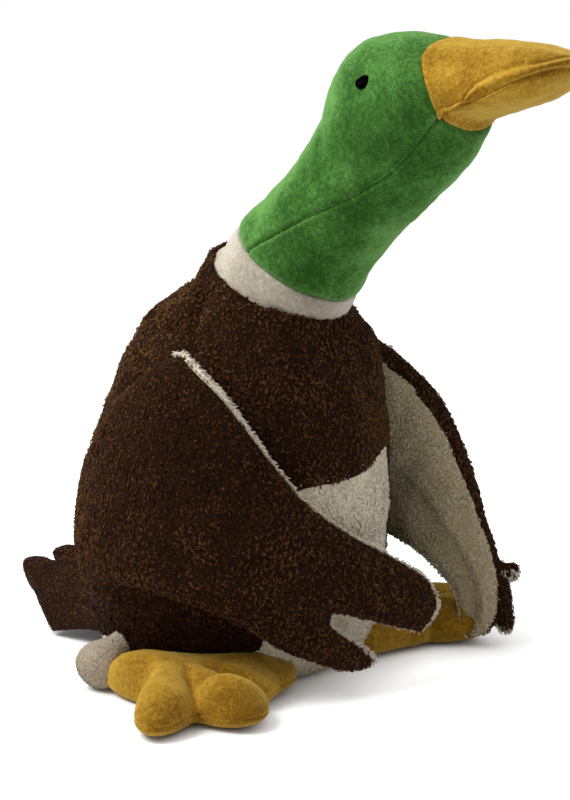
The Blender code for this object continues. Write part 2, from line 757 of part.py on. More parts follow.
class Sheet:
    """A padded sheet between two edges that stand off the torso.

    along runs from the root, 0, to the tip, 1, and across from the trailing edge, 0, to the
    leading edge, 1.
    """

    step = 1e-3

    def __init__(self, leading, trailing, side, outline):
        self.edges = smooth_curve(trailing), smooth_curve(leading)
        self.side = side
        self.outline = outline

    def point(self, along, across):
        along, across = np.broadcast_arrays(np.asarray(along, float), np.asarray(across, float))
        reach = along * self.outline(across)
        low, high = self.edges[0](reach), self.edges[1](reach)
        row = low + (high - low) * across[..., None]
        turn = self.side * np.radians(row[..., 0])
        point, _ = torso.at_height(turn, row[..., 1] * torso_height)
        out = np.stack([np.sin(turn), -np.cos(turn), np.zeros_like(turn)], axis=-1)
        return point + out * (row[..., 2] * wing_thickness)[..., None]

    def normal(self, along, across):
        step = self.step
        forwards = self.point(along + step, across) - self.point(along - step, across)
        sideways = self.point(along, across + step) - self.point(along, across - step)
        return unit(np.cross(sideways, forwards)) * self.side


def padding(along, across):
    """How full a pad is, from 0 at its sewn edges to 1 in its middle."""
    return ((1.0 - np.abs(2 * across - 1) ** pad_side_power)
            * (1.0 - np.clip(along, 0, 1) ** pad_tip_power))


def pad_panels(names, sheet, rows, columns, thickness, skin, colours, filling):
    """The two skins and the wadding of a padded sheet."""
    along = np.linspace(0.0, 1.0, rows + 1)[:, None]
    across = np.linspace(0.0, 1.0, columns + 1)[None, :]
    along, across = np.broadcast_arrays(along, across)
    middle, out = sheet.point(along, across), sheet.normal(along, across)
    most = thickness / 2 - skin - seam_gap / 2
    core = seam_gap / 2 + most * padding(along, across)
    made = []
    for name, colour, way in zip(names, colours, (1.0, -1.0)):
        outer = middle + out * (way * (core + skin))[..., None]
        inner = middle + out * (way * core)[..., None]
        made.append(place(name, grid_mesh(name, outer, inner), colour))
    along, across = along[:-2, 1:-1], across[:-2, 1:-1]
    middle, out = middle[:-2, 1:-1], out[:-2, 1:-1]
    middle[0] += (middle[1] - middle[0]) * root_inset_share
    core = seam_gap / 2 + most * padding(along, across) - wadding_gap
    core = np.maximum(core, seam_gap)
    mesh = grid_mesh(filling, middle + out * core[..., None], middle - out * core[..., None])
    made.append(place(filling, mesh, wadding))
    return made


def wing_outline(across):
    """How far each strip of a wing reaches: a long finger, a notch and a short finger."""
    leading = across > notch_across
    middle = np.where(leading, (1.0 + notch_across) / 2, notch_across / 2)
    reach = np.where(leading, 1.0, finger_share)
    from_middle = np.abs(across - middle) / np.abs(notch_across - middle)
    return reach - (reach - notch_share) * np.clip(from_middle, 0.0, 1.0) ** finger_power


def build_wing(side_name, side, leading, trailing):
    sheet = Sheet(leading, trailing, side, wing_outline)
    names = [f"wing_{side_name}_top", f"wing_{side_name}_lining"]
    made = pad_panels(names, sheet, wing_rows, wing_columns, wing_thickness,
                      sheet_skin, (brown, cream), f"wing_{side_name}_wadding")
    root = sheet.point(0.0, 1.0) + np.array([side * wing_pivot_stand, wing_pivot_back, 0.0])
    carry(pivot(f"wing_{side_name}_pivot", root), made)
    return made


def build_wings():
    right = build_wing("right", -1.0, near_leading_shares, near_trailing_shares)
    left = build_wing("left", 1.0, far_leading_shares, far_trailing_shares)
    return right, left


# Tail

class TailSheet:
    """The tail's middle surface: along from its root to its feather tips, across its width."""

    step = 1e-3
    side = 1.0

    def point(self, along, across):
        along, across = np.broadcast_arrays(np.asarray(along, float), np.asarray(across, float))
        wide = 2 * across - 1
        x = tail_half_width * wide * (1.0 - tail_taper_share * along)
        turn = math.pi - np.arcsin(np.clip(x / torso_half_width, -1, 1))
        root, _ = torso.at_height(turn, tail_root_top)
        feathers = 1.0 - (1.0 - tail_notch_share) * np.abs(np.sin(wide * math.pi * tail_feathers / 2))
        y = root[..., 1] + tail_stand + tail_length * along * feathers
        lift = tail_rise * np.clip(along, 0.0, None) ** tail_rise_power
        z = tail_root_height + lift - tail_droop * wide ** 2 * (1 - along / 2)
        return np.stack([x, y, z], axis=-1)

    def normal(self, along, across):
        step = self.step
        forwards = self.point(along + step, across) - self.point(along - step, across)
        sideways = self.point(along, across + step) - self.point(along, across - step)
        return unit(np.cross(sideways, forwards))


def build_tail():
    return pad_panels(["tail_top", "tail_bottom"], TailSheet(), tail_rows, tail_columns,
                      tail_thickness, sheet_skin, (brown, brown), "tail_wadding")


# Legs and feet

def round_mesh(name, rings, shell=None):
    """A closed form of rings; with shell, a cup whose first rings are its open mouth."""
    if shell is None:
        return ring_mesh(name, rings)
    return grid_mesh(name, np.array(rings)[::-1], np.array(shell)[::-1], closed=True,
                     floor_cap=True)


def along_axis(profile, start, way, sides):
    """Rings of a profile of (radius, distance) about an axis."""
    way = unit(np.asarray(way, float))
    one = unit(np.cross(way, np.array([0.0, 0.0, 1.0])))
    two = np.cross(way, one)
    turns = np.arange(sides) * 2 * math.pi / sides
    return [start + way * distance + radius * (np.outer(np.cos(turns), one)
                                               + np.outer(np.sin(turns), two))
            for radius, distance in profile]


def leg_profile(hip_radius, neck_radius, end_radius, length, opening_degrees):
    """From the opening in the hip's ball, over the leg's neck, to the round end."""
    hip = ball_arc(hip_radius, opening_degrees, hip_neck_degrees, hip_arc_points)
    neck = [(neck_radius, (hip[-1][1] + length) / 2)]
    end = [(radius, length + height)
           for radius, height in ball_arc(end_radius, ankle_neck_degrees, ankle_end_degrees,
                                          seat_arc_points)]
    return hip + neck + end


foot_reach = smooth_curve([(share,) for _, share in foot_shares],
                          [degrees / 360.0 + 0.5 for degrees, _ in foot_shares])


def foot_rings(grow, low, high, levels, up):
    """Rings of a foot's half, from its seam inwards: up for the upper, else the sole."""
    turns = np.arange(foot_sides) * 2 * math.pi / foot_sides
    degrees = np.degrees(turns)
    degrees = np.where(degrees > 180.0, degrees - 360.0, degrees)
    reach = foot_reach(degrees / 360.0 + 0.5)[..., 0] * foot_radius + grow
    crease = np.ones_like(degrees)
    for between in toe_crease_degrees:
        spread = (degrees - between) / toe_crease_width_degrees
        crease = crease - toe_crease_share * np.exp(-spread ** 2)
    rings = []
    for level in levels:
        rise = math.sin(level * math.pi / 2)
        span = math.cos(level * math.pi / 2) ** (upper_roundness if up else sole_roundness)
        height = low + (high - low) * rise
        if up:
            height = low + (high - low) * rise * (crease * span + 1.0 - span)
        x = foot_out + reach * span * np.sin(turns)
        y = -foot_forward - reach * span * np.cos(turns)
        rings.append(np.stack([x, y, np.maximum(height + 0 * x, 0.0)], axis=-1))
    return rings


def build_legs(torso_cutter):
    """The left leg and foot, and the right ones, which mirror them."""
    hip = hip_point
    way = ankle_point - hip
    length = float(np.linalg.norm(way))
    outside = hip_seat_radius - seat_gap
    outer = along_axis(leg_profile(outside, leg_neck_radius, ankle_radius, length, hip_opening_degrees),
                       hip, way, leg_sides)
    inner = along_axis(leg_profile(outside - pile_skin, leg_neck_radius - pile_skin,
                                   ankle_radius - pile_skin, length, hip_opening_degrees),
                       hip, way, leg_sides)
    depth = pile_skin + stuffing_gap
    core = along_axis(leg_profile(outside - depth, leg_neck_radius - depth,
                                  ankle_radius - depth, length, hip_core_degrees), hip, way, leg_sides)
    skin = place("leg_left_skin", round_mesh("leg_left_skin", outer, inner), cream)
    stuffing = place("leg_left_stuffing", round_mesh("leg_left_stuffing", core), wadding)

    levels = np.linspace(0.0, foot_top_level, foot_rings_count)
    seam = foot_seam_height
    top = foot_thickness
    half = seam_gap / 2
    upper = place("foot_left_upper", grid_mesh(
        "foot_left_upper",
        np.array(foot_rings(0.0, seam + half, top, levels, True))[::-1],
        np.array(foot_rings(-velour_skin, seam + half, top - velour_skin, levels, True))[::-1],
        closed=True, floor_cap=True), yellow)
    sole = place("foot_left_sole", grid_mesh(
        "foot_left_sole",
        np.array(foot_rings(0.0, seam - half, -floor_flat, levels, False))[::-1],
        np.array(foot_rings(-velour_skin, seam - half, velour_skin, levels, False))[::-1],
        closed=True, floor_cap=True), yellow)
    depth = velour_skin + stuffing_gap
    rings = (foot_rings(-depth, seam, depth, levels[::-1], False)
             + foot_rings(-depth, seam, top - depth, levels[1:], True))
    filling = place("foot_left_stuffing", ring_mesh("foot_left_stuffing", rings), wadding)

    rings = (foot_rings(seam_gap, seam, -foot_thickness, levels[::-1], False)
             + foot_rings(seam_gap, seam, top + seam_gap, levels[1:], True))
    foot_cutter = place("foot_left_cutter", ring_mesh("foot_left_cutter", rings), wadding)
    guide(foot_cutter)
    for item in (skin, stuffing):
        cut(item, foot_cutter)
    for item in (upper, sole, filling):
        cut(item, torso_cutter)
    left = [skin, stuffing, upper, sole, filling]
    right = [mirror_cut(item) for item in left]
    return right, left


def main():
    clear_scene()
    torso_cutter = build_torso()
    neck = pivot("neck_pivot", neck_pivot)
    turning = pivot("head_pivot", ring_centre, neck)
    carry(neck, build_neck())
    carry(turning, [*build_head(), *build_bill(), *build_eyes()])
    build_wings()
    carry(pivot("tail_pivot", tail_pivot), build_tail())
    right_leg, left_leg = build_legs(torso_cutter)
    carry(pivot("leg_right_pivot", hip_point * (-1.0, 1.0, 1.0)), right_leg)
    carry(pivot("leg_left_pivot", hip_point), left_leg)


main()
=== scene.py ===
# Plush duck: the looks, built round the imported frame.
# Surfaces are smooth versions of the CAD's forms; the pile is real tufts on them.
import math

import bmesh
import bpy
import numpy as np
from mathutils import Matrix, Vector, kdtree


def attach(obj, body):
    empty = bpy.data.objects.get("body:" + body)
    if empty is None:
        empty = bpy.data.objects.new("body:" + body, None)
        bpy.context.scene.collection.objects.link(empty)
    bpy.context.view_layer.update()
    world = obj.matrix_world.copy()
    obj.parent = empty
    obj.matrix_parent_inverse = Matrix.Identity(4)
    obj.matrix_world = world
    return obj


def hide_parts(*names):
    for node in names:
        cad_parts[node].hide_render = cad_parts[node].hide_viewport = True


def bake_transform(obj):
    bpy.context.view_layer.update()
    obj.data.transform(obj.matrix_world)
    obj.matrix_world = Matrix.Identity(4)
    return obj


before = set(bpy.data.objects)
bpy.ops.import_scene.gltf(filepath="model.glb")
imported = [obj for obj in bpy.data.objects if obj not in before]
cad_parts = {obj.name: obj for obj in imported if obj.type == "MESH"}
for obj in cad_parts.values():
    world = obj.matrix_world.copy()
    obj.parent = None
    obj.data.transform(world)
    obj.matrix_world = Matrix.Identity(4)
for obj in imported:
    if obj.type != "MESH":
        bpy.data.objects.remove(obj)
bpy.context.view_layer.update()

MM = 0.001

# Forms, as in the CAD: oval ribs (forwards, height, forwards, height, half width, widest)
torso_shares = (
    (0.71, 0.000, -0.73, 0.000, 0.740, 0.50),
    (0.87, 0.062, -0.87, 0.062, 0.880, 0.50),
    (0.97, 0.163, -0.95, 0.163, 0.970, 0.50),
    (1.00, 0.300, -0.98, 0.309, 1.000, 0.50),
    (1.00, 0.425, -0.96, 0.488, 1.000, 0.50),
    (1.00, 0.527, -0.86, 0.671, 0.960, 0.50),
    (1.00, 0.635, -0.71, 0.824, 0.900, 0.50),
    (0.98, 0.744, -0.52, 0.938, 0.810, 0.50),
    (0.89, 0.841, -0.27, 1.021, 0.660, 0.50),
)
# Soft swellings and dents: degrees from the front, place along the body, half width in
# degrees, half length along the body, and how far they swell the rib
torso_folds = (
    (-136, 0.84, 22, 0.065, 0.060), (136, 0.83, 22, 0.065, 0.045), (180, 0.70, 34, 0.060, -0.060),
    (-158, 0.52, 26, 0.080, 0.035), (160, 0.36, 30, 0.070, -0.035), (-150, 0.30, 24, 0.060, -0.025),
    (14, 0.80, 13, 0.110, -0.045), (-16, 0.70, 18, 0.090, 0.025), (14, 0.37, 30, 0.045, -0.035),
)
head_shares = (
    (0.255, -0.010, -0.065, 0.370, 0.95, 0.50),
    (0.355, 0.175, 0.040, 0.565, 0.91, 0.50),
    (0.465, 0.325, 0.121, 0.767, 0.91, 0.50),
    (0.565, 0.474, 0.170, 0.995, 0.98, 0.50),
    (0.622, 0.627, 0.262, 1.142, 1.00, 0.46),
    (0.646, 0.728, 0.409, 1.177, 0.96, 0.38),
    (0.704, 0.768, 0.538, 1.151, 0.87, 0.22),
    (0.771, 0.797, 0.679, 1.139, 0.84, 0.18),
    (0.863, 0.856, 0.808, 1.127, 0.82, 0.29),
    (0.937, 0.923, 0.918, 1.098, 0.68, 0.45),
    (0.983, 0.985, 0.980, 1.062, 0.39, 0.50),
    (0.998, 1.015, 0.998, 1.037, 0.11, 0.50),
)
bill_seam_shares = (
    (0, 0.462), (21, 0.466), (35, 0.472), (46, 0.472), (57, 0.495), (91, 0.532), (109, 0.541),
    (125, 0.549), (141, 0.562), (180, 0.585),
)
# Place along the head, and degrees from the front
gusset_shares = (
    (0.0, 105), (0.09, 89), (0.144, 77), (0.181, 68), (0.237, 59), (0.298, 51), (0.338, 48.5),
    (0.388, 47), (0.472, 46),
)
mouth_shares = (
    (0.472, 46), (0.565, 67), (0.60, 81), (0.639, 92), (0.689, 98), (0.749, 97), (0.806, 91),
    (0.846, 91), (0.91, 97), (1.0, 100),
)
foot_shares = (
    (-180, 1.02), (-140, 0.76), (-100, 0.80), (-67, 1.24), (-42, 0.94), (-18, 0.88),
    (18, 1.15), (40, 0.86), (66, 1.24), (76, 1.03), (86, 0.62), (98, 0.44), (115, 0.38),
    (145, 0.54), (180, 1.02),
)


# ---------------------------------------------------------------- maths

def smooth_curve(rows, keys=None):
    rows = np.array(rows, float)
    keys = np.linspace(0.0, 1.0, len(rows)) if keys is None else np.array(keys, float)
    slopes = np.gradient(rows, keys, axis=0)

    def at(share):
        share = np.clip(np.asarray(share, float), keys[0], keys[-1])
        low = np.clip(np.searchsorted(keys, share, side="right") - 1, 0, len(keys) - 2)
        span = keys[low + 1] - keys[low]
        part = (share - keys[low]) / span
        span, part = span[..., None], part[..., None]
        square, cube = part ** 2, part ** 3
        return ((2 * cube - 3 * square + 1) * rows[low]
                + (cube - 2 * square + part) * span * slopes[low]
                + (3 * square - 2 * cube) * rows[low + 1]
                + (cube - square) * span * slopes[low + 1])
    return at


def pair_curve(pairs):
    """A smooth function through pairs of a key and a value."""
    curve = smooth_curve([(value,) for _, value in pairs], [key for key, _ in pairs])
    return lambda x: curve(x)[..., 0]


def unit(v):
    return v / np.maximum(np.linalg.norm(v, axis=-1, keepdims=True), 1e-12)


def within(x):
    return np.clip(x, 0, 1)


def ease(x):
    x = within(x)
    return x * x * (3 - 2 * x)


def circle(count):
    return np.arange(count) * 2 * math.pi / count


def around(angles, one, two):
    """Directions round a ring, from the first way towards the second."""
    return np.outer(np.cos(angles), one) + np.outer(np.sin(angles), two)


def bump(distance, width):
    return np.exp(-(distance / width) ** 2)


def above(points, height):
    """Keeps places from sinking below a height over the floor."""
    points[..., 2] = np.maximum(points[..., 2], height)
    return points


class Form:
    def __init__(self, start, reach, rise, half_width, shares, first=(), last=(), folds=()):
        self.folds = folds
        rows = list(first)
        for front, front_height, back, back_height, wide, widest in shares:
            rows.append((start[0] - reach * front, start[1] + rise * front_height,
                         start[0] - reach * back, start[1] + rise * back_height,
                         half_width * wide, widest))
        self.rib = smooth_curve(rows + list(last))

    def swell(self, turn, along):
        total = np.zeros(np.shape(turn))
        for degrees, place, half_degrees, half_length, share in self.folds:
            apart = (np.degrees(turn) - degrees + 180.0) % 360.0 - 180.0
            total = total + share * np.exp(-(apart / half_degrees) ** 2
                                           - ((along - place) / half_length) ** 2)
        return 1.0 + total * (1.0 - (2.0 * along - 1.0) ** 8)

    def point(self, turn, along):
        turn, along = np.broadcast_arrays(np.asarray(turn, float), np.asarray(along, float))
        rib = self.rib(along)
        front, back, widest = rib[..., 0:2], rib[..., 2:4], rib[..., 5:6]
        middle = front + (back - front) * widest
        forwards = np.cos(turn)[..., None]
        swell = self.swell(turn, along)
        depth = np.where(forwards > 0.0, front - middle, middle - back) * forwards
        yz = middle + depth * swell[..., None]
        return np.stack([rib[..., 4] * np.sin(turn) * swell, yz[..., 0], yz[..., 1]], axis=-1)

    def normal(self, turn, along, step=2e-3):
        turn, along = np.broadcast_arrays(np.asarray(turn, float), np.asarray(along, float))
        up = (self.point(turn, within(along + step))
              - self.point(turn, within(along - step)))
        side = self.point(turn + step, along) - self.point(turn - step, along)
        return unit(np.cross(side, up))

    def at_height(self, turn, height):
        turn, height = np.broadcast_arrays(np.asarray(turn, float), np.asarray(height, float))
        low, high = np.zeros(turn.shape), np.ones(turn.shape)
        for _ in range(24):
            half = (low + high) / 2
            below = self.point(turn, half)[..., 2] < height
            low, high = np.where(below, half, low), np.where(below, high, half)
        return self.point(turn, low), low


def round_rib(centre, radius, lean):
    forwards, down = radius * math.cos(lean), radius * math.sin(lean)
    return (centre[1] - forwards, centre[2] - down, centre[1] + forwards, centre[2] + down,
            radius, 0.5)


def waves(seed, size, count=24, spread=0.45):
    """Smooth noise of about the given size in metres, near -1 to 1, as a function of points."""
    local = np.random.default_rng(seed)
    ways = unit(local.normal(size=(count, 3)))
    rates = 2 * math.pi / (size * np.exp(local.normal(size=count) * spread))
    phases = local.uniform(0, 2 * math.pi, count)

    def at(points):
        total = np.zeros(points.shape[:-1])
        for way, rate, phase in zip(ways, rates, phases):
            total = total + np.sin(points @ way * rate + phase)
        return total / math.sqrt(count) * 0.9
    return at


# ---------------------------------------------------------------- meshes

def new_mesh(name, verts, faces, material, body, smooth=True, uv=None):
    """faces is an array of quads or triangles, or a list of such arrays."""
    mesh = bpy.data.meshes.new(name)
    groups = faces if isinstance(faces, list) else [faces]
    groups = [np.asarray(g, np.int64) for g in groups if len(g)]
    mesh.vertices.add(len(verts))
    mesh.vertices.foreach_set("co", np.asarray(verts, np.float32).ravel())
    loops = np.concatenate([g.ravel() for g in groups])
    counts = np.concatenate([np.full(len(g), g.shape[1]) for g in groups])
    starts = np.concatenate([[0], np.cumsum(counts)[:-1]])
    mesh.loops.add(len(loops))
    mesh.loops.foreach_set("vertex_index", loops.astype(np.int32))
    mesh.polygons.add(len(counts))
    mesh.polygons.foreach_set("loop_start", starts.astype(np.int32))
    mesh.polygons.foreach_set("loop_total", counts.astype(np.int32))
    mesh.update(calc_edges=True)
    mesh.validate()
    if smooth:
        mesh.shade_smooth()
    if uv is not None:
        layer = mesh.uv_layers.new(name="OFBake")
        layer.data.foreach_set("uv", uv[loops].astype(np.float32).ravel())
    item = bpy.data.objects.new(name, mesh)
    bpy.context.scene.collection.objects.link(item)
    mesh.materials.append(material)
    if body is not None:
        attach(item, body)
    return item


def grid_faces(rows, columns):
    i, j = np.meshgrid(np.arange(rows - 1), np.arange(columns), indexing="ij")
    k = (j + 1) % columns
    below, above_ = i * columns, (i + 1) * columns
    return np.stack([below + j, below + k, above_ + k, above_ + j], axis=-1).reshape(-1, 4)


def zip_faces(first, total, split):
    """Closes the last ring of a sheet: each place on its top side to the one below it."""
    j = np.arange(1, split - 2)
    quads = np.stack([j, j + 1, total - j - 1, total - j], axis=-1)
    ends = np.array([(0, 1, total - 1), (split - 2, split - 1, split)])
    return [quads + first, ends + first]


def surface(name, points, material, body, caps=(), split=0):
    """Rings of points as a mesh. caps closes row 0 or -1 with a fan, split zips the last row."""
    rows, columns = points.shape[:2]
    faces = [grid_faces(rows, columns)]
    verts = points.reshape(-1, 3)
    for cap in caps:
        row = 0 if cap == 0 else rows - 1
        centre = len(verts)
        verts = np.vstack([verts, points[row].mean(0)])
        j = np.arange(columns)
        k = (j + 1) % columns
        ring = np.stack([np.full(columns, centre), row * columns + k, row * columns + j], axis=-1)
        faces.append(ring if cap == 0 else ring[:, ::-1])
    if split:
        faces += zip_faces((rows - 1) * columns, columns, split)
    if caps:
        tri = np.concatenate([f[:, (0, 1, 2)] for f in faces]
                             + [f[:, (0, 2, 3)] for f in faces if f.shape[1] == 4])
        a, b, c = verts[tri[:, 0]], verts[tri[:, 1]], verts[tri[:, 2]]
        if (a * np.cross(b, c)).sum() < 0:
            faces = [f[:, ::-1] for f in faces]
    return new_mesh(name, verts, faces, material, body)


def mesh_arrays(item):
    mesh = item.data
    mesh.calc_loop_triangles()
    co = np.empty(len(mesh.vertices) * 3)
    mesh.vertices.foreach_get("co", co)
    tri = np.empty(len(mesh.loop_triangles) * 3, np.int32)
    mesh.loop_triangles.foreach_get("vertices", tri)
    normals = np.empty(len(mesh.vertices) * 3, np.float32)
    mesh.vertex_normals.foreach_get("vector", normals)
    return co.reshape(-1, 3), tri.reshape(-1, 3), normals.reshape(-1, 3).astype(float)


# ---------------------------------------------------------------- pile

swirl = [waves(40 + k, 0.011) for k in range(3)]
fine_swirl = [waves(50 + k, 0.0045) for k in range(3)]
patch = waves(60, 0.028)


SIDES, SEGMENTS = 3, 2
NEXT_SIDE = ((0, 1), (1, 2), (2, 0))


def pile(name, base, material, body, spacing, length, width, comb, lean=0.40, curl=1.8,
         keep=None, seed=1, wild=0.6, sink=0.5, tone=None, clump=0.0):
    """Curls of fibre on a mesh, sizes in mm: each rises, bends over and lies down. With a clump
    size, neighbours lean together into locks, and painted shade on the fibres towards each
    lock's edge darkens the gaps between the locks. tone adds painted light and shade."""
    spacing, length, width, sink, clump = (v * MM for v in (spacing, length, width, sink, clump))
    local = np.random.default_rng(seed)
    co, tri, normals = mesh_arrays(base)
    a, b, c = co[tri[:, 0]], co[tri[:, 1]], co[tri[:, 2]]
    area = np.linalg.norm(np.cross(b - a, c - a), axis=1) / 2
    total = area.sum()
    count = int(total / spacing ** 2)
    picks = (np.arange(count) + local.uniform(0, 1, count)) / count * total
    t = np.clip(np.searchsorted(np.cumsum(area), picks), 0, len(tri) - 1)
    u, v = local.uniform(0, 1, (2, count))
    over = u + v > 1
    u, v = np.where(over, 1 - u, u)[:, None], np.where(over, 1 - v, v)[:, None]
    w = 1 - u - v
    root = a[t] * w + b[t] * u + c[t] * v
    out = unit(normals[tri[t, 0]] * w + normals[tri[t, 1]] * u + normals[tri[t, 2]] * v)
    if keep is not None:
        kept = keep(root, out)
        root, out = root[kept], out[kept]
    count = len(root)
    field, small = (np.stack([f(root) for f in noises], axis=-1) for noises in (swirl, fine_swirl))
    lie = np.array(comb, float) + wild * field + wild * small + local.normal(size=root.shape) * 0.35
    size = length * (0.75 + 0.5 * local.uniform(0, 1, count)) * (1.0 + 0.15 * patch(root))
    start = lean + 0.25 * local.normal(size=count)
    bend_ = curl * (0.8 + 0.4 * local.uniform(0, 1, count))
    twist = local.normal(size=count) * 0.8
    steps = np.linspace(0, 1, SEGMENTS + 1)
    pull, lock_shade = np.zeros(root.shape), np.zeros(count)
    if clump:
        locks = local.choice(count, max(int(count * (spacing / clump) ** 2), 1), replace=False)
        tree = kdtree.KDTree(len(locks))
        for k, lock in enumerate(locks):
            tree.insert(root[lock], k)
        tree.balance()
        owner = locks[np.array([tree.find(place)[1] for place in root])]
        pull = root[owner] - root
        apart = np.clip(np.linalg.norm(pull, axis=1) / (0.62 * clump), 0, 1.4)
        # Each lock gets its own random shade; painted shade grows towards its edge, darkening the gaps between locks.
        lock_shade = local.normal(size=count)[owner] * 0.09 + 0.14 - 0.24 * apart
        lie = 0.25 * lie + 0.75 * lie[owner]
        start, bend_, twist, size = (0.3 * own_ + 0.7 * own_[owner]
                                     for own_ in (start, bend_, twist, size))
    lie = unit(lie - (lie * out).sum(1)[:, None] * out)
    across = unit(np.cross(out, lie))
    centre = [root - out * sink]
    for step in steps[:-1]:
        angle, turn_ = ((start + bend_ * (step + 0.5 / SEGMENTS))[:, None], (twist * step)[:, None])
        flat = lie * np.cos(turn_) + across * np.sin(turn_)
        ahead = out * np.cos(angle) + flat * np.sin(angle)
        centre.append(centre[-1] + ahead * (size / SEGMENTS)[:, None] + pull * 0.62 / SEGMENTS)
    rings = []
    grow = 0.8 + 0.4 * local.uniform(0, 1, count)
    for k in range(SEGMENTS):
        ahead = unit(centre[k + 1] - centre[k])
        first = unit(np.cross(ahead, lie + out * 0.31))
        second = np.cross(ahead, first)
        radius = (width * (1.0 - 0.30 * steps[k]) * grow)[:, None]
        for angle in circle(SIDES):
            rings.append(centre[k] + radius * (first * math.cos(angle) + second * math.sin(angle)))
    verts = np.stack([*rings, centre[-1]], axis=1)
    per = verts.shape[1]
    base_index = np.arange(count)[:, None, None] * per
    quads = np.array([(j, k, SIDES + k, SIDES + j) for j, k in NEXT_SIDE])
    tris = np.array([(SIDES + j, SIDES + k, per - 1) for j, k in NEXT_SIDE])
    faces = [(quads + base_index).reshape(-1, 4), (tris + base_index).reshape(-1, 3)]
    # Each tuft's random shade, plus painted shade in the lock gaps and the painted light and shade that tone hands
    # in.
    shade = np.clip(0.5 + 0.07 * local.normal(size=count) + 0.05 * patch(root) + 0.05 * field[:, 0]
                    + lock_shade + (0.0 if tone is None else tone(root)), 0.02, 0.98)
    uv = np.empty((count, per, 2))
    uv[:, :, 0] = shade[:, None]
    # The second coordinate runs from root to tip: the fibre material paints shade towards the root.
    uv[:, :, 1] = 0.02 + 0.96 * np.concatenate([np.repeat(steps[:-1], SIDES), [1.0]])[None, :]
    return new_mesh(name, verts.reshape(-1, 3), faces, material, body, uv=uv.reshape(-1, 2))


# ---------------------------------------------------------------- materials

def put(node, inputs):
    """Sets a node's inputs: an output is linked, and a colour gets its alpha."""
    for name, value in inputs.items():
        if isinstance(value, bpy.types.NodeSocket):
            node.id_data.links.new(value, node.inputs[name])
        else:
            node.inputs[name].default_value = (*value, 1.0) if isinstance(value, tuple) else value
    return node


def add(tree, kind, inputs=None, output=0):
    return put(tree.nodes.new("ShaderNode" + kind), inputs or {}).outputs[output]


def material(name, inputs=None):
    m = bpy.data.materials.new(name)
    m.use_nodes = True
    return m, m.node_tree, put(m.node_tree.nodes["Principled BSDF"], inputs or {})


def ramp(tree, stops, factor):
    node = tree.nodes.new("ShaderNodeValToRGB")
    elements = node.color_ramp.elements
    while len(elements) < len(stops):
        elements.new(0.5)
    for element, (place, colour) in zip(elements, stops):
        element.position = place
        element.color = (*colour, 1.0)
    return put(node, {"Fac": factor}).outputs["Color"]


def object_noise(tree, scale, detail=2.0, rough=0.5):
    return add(tree, "TexNoise", {"Vector": add(tree, "TexCoord", output="Object"),
                                  "Scale": scale, "Detail": detail, "Roughness": rough}, "Fac")


def math_node(tree, kind, a, b):
    node = tree.nodes.new("ShaderNodeMath")
    node.operation = kind
    return put(node, {0: a, 1: b}).outputs[0]


def weighted(tree, *parts):
    """Adds up outputs, each times its weight."""
    total, *others = (math_node(tree, "MULTIPLY", socket, weight) for socket, weight in parts)
    for other in others:
        total = math_node(tree, "ADD", total, other)
    return total


def bumps(tree, height, strength, distance):
    return add(tree, "Bump", {"Strength": strength, "Distance": distance * MM, "Height": height},
               "Normal")


def pile_material(name, dark, middle, light, sheen=0.05):
    """Fibre: lighter at its tip, and darker towards its root as painted shade within the pile; each tuft has its own
    shade, which pile() fills with random differences and painted light.
    """
    m, tree, shader = material(name, {"Roughness": 0.8, "Specular IOR Level": 0.05,
                                      "Sheen Weight": sheen, "Sheen Roughness": 0.5})
    uv = tree.nodes.new("ShaderNodeUVMap")
    uv.uv_map = "OFBake"
    split = put(tree.nodes.new("ShaderNodeSeparateXYZ"), {0: uv.outputs["UV"]})
    total = weighted(tree, (split.outputs["Y"], 0.50), (split.outputs["X"], 0.88))
    put(shader, {"Base Color": ramp(tree, [(0.26, dark), (0.60, middle), (1.0, light)], total)})
    return m


def backing_material(name, dark, light):
    """The knitted ground that the pile stands on."""
    m, tree, shader = material(name, {"Roughness": 0.95, "Specular IOR Level": 0.1})
    noise = object_noise(tree, 500.0, 3.0)
    put(shader, {"Base Color": ramp(tree, [(0.3, dark), (0.7, light)], noise),
                 "Normal": bumps(tree, noise, 0.8, 1.2)})
    return m


def velour_material(name, dark, middle, light, sheen_tint):
    """Short brushed pile: mottled where it was stroked, with a painted sheen that makes it paler at grazing angles.
    """
    m, tree, shader = material(name, {
        "Roughness": 0.85, "Specular IOR Level": 0.06, "Sheen Weight": 0.32,
        "Sheen Roughness": 0.45, "Sheen Tint": sheen_tint})
    broad = object_noise(tree, 38.0, 3.0, 0.55)
    close = object_noise(tree, 420.0, 3.0, 0.6)
    grain = object_noise(tree, 1500.0, 2.0, 0.6)
    # Painted sheen: a grazing view lifts the colour towards the light end of the ramp.
    painted_sheen = add(tree, "LayerWeight", {"Blend": 0.35}, "Facing")
    mix = weighted(tree, (broad, 0.36), (close, 0.30), (grain, 0.34), (painted_sheen, 0.22))
    height = weighted(tree, (close, 0.6), (grain, 0.5))
    put(shader, {"Base Color": ramp(tree, [(0.46, dark), (0.56, middle), (0.67, light)], mix),
                 "Normal": bumps(tree, height, 0.55, 0.5)})
    return m


brown_pile = pile_material("brown_pile", (0.0080, 0.0025, 0.0010), (0.070, 0.0265, 0.0088),
                           (0.165, 0.078, 0.0270), 0.0)
cream_pile = pile_material("cream_pile", (0.74, 0.65, 0.49), (0.86, 0.78, 0.63), (0.92, 0.86, 0.73))
# The lining's cream, with a ramp that runs down to a yellowish brown: where recess lowers the shade, that is painted
# shade tinted by brown bounce light.
lining_fibre = pile_material("lining_pile", (0.20, 0.150, 0.075), (0.70, 0.61, 0.43),
                             (0.82, 0.74, 0.57))
leg_fibre = pile_material("leg_pile", (0.42, 0.34, 0.25), (0.47, 0.395, 0.30), (0.52, 0.445, 0.345))
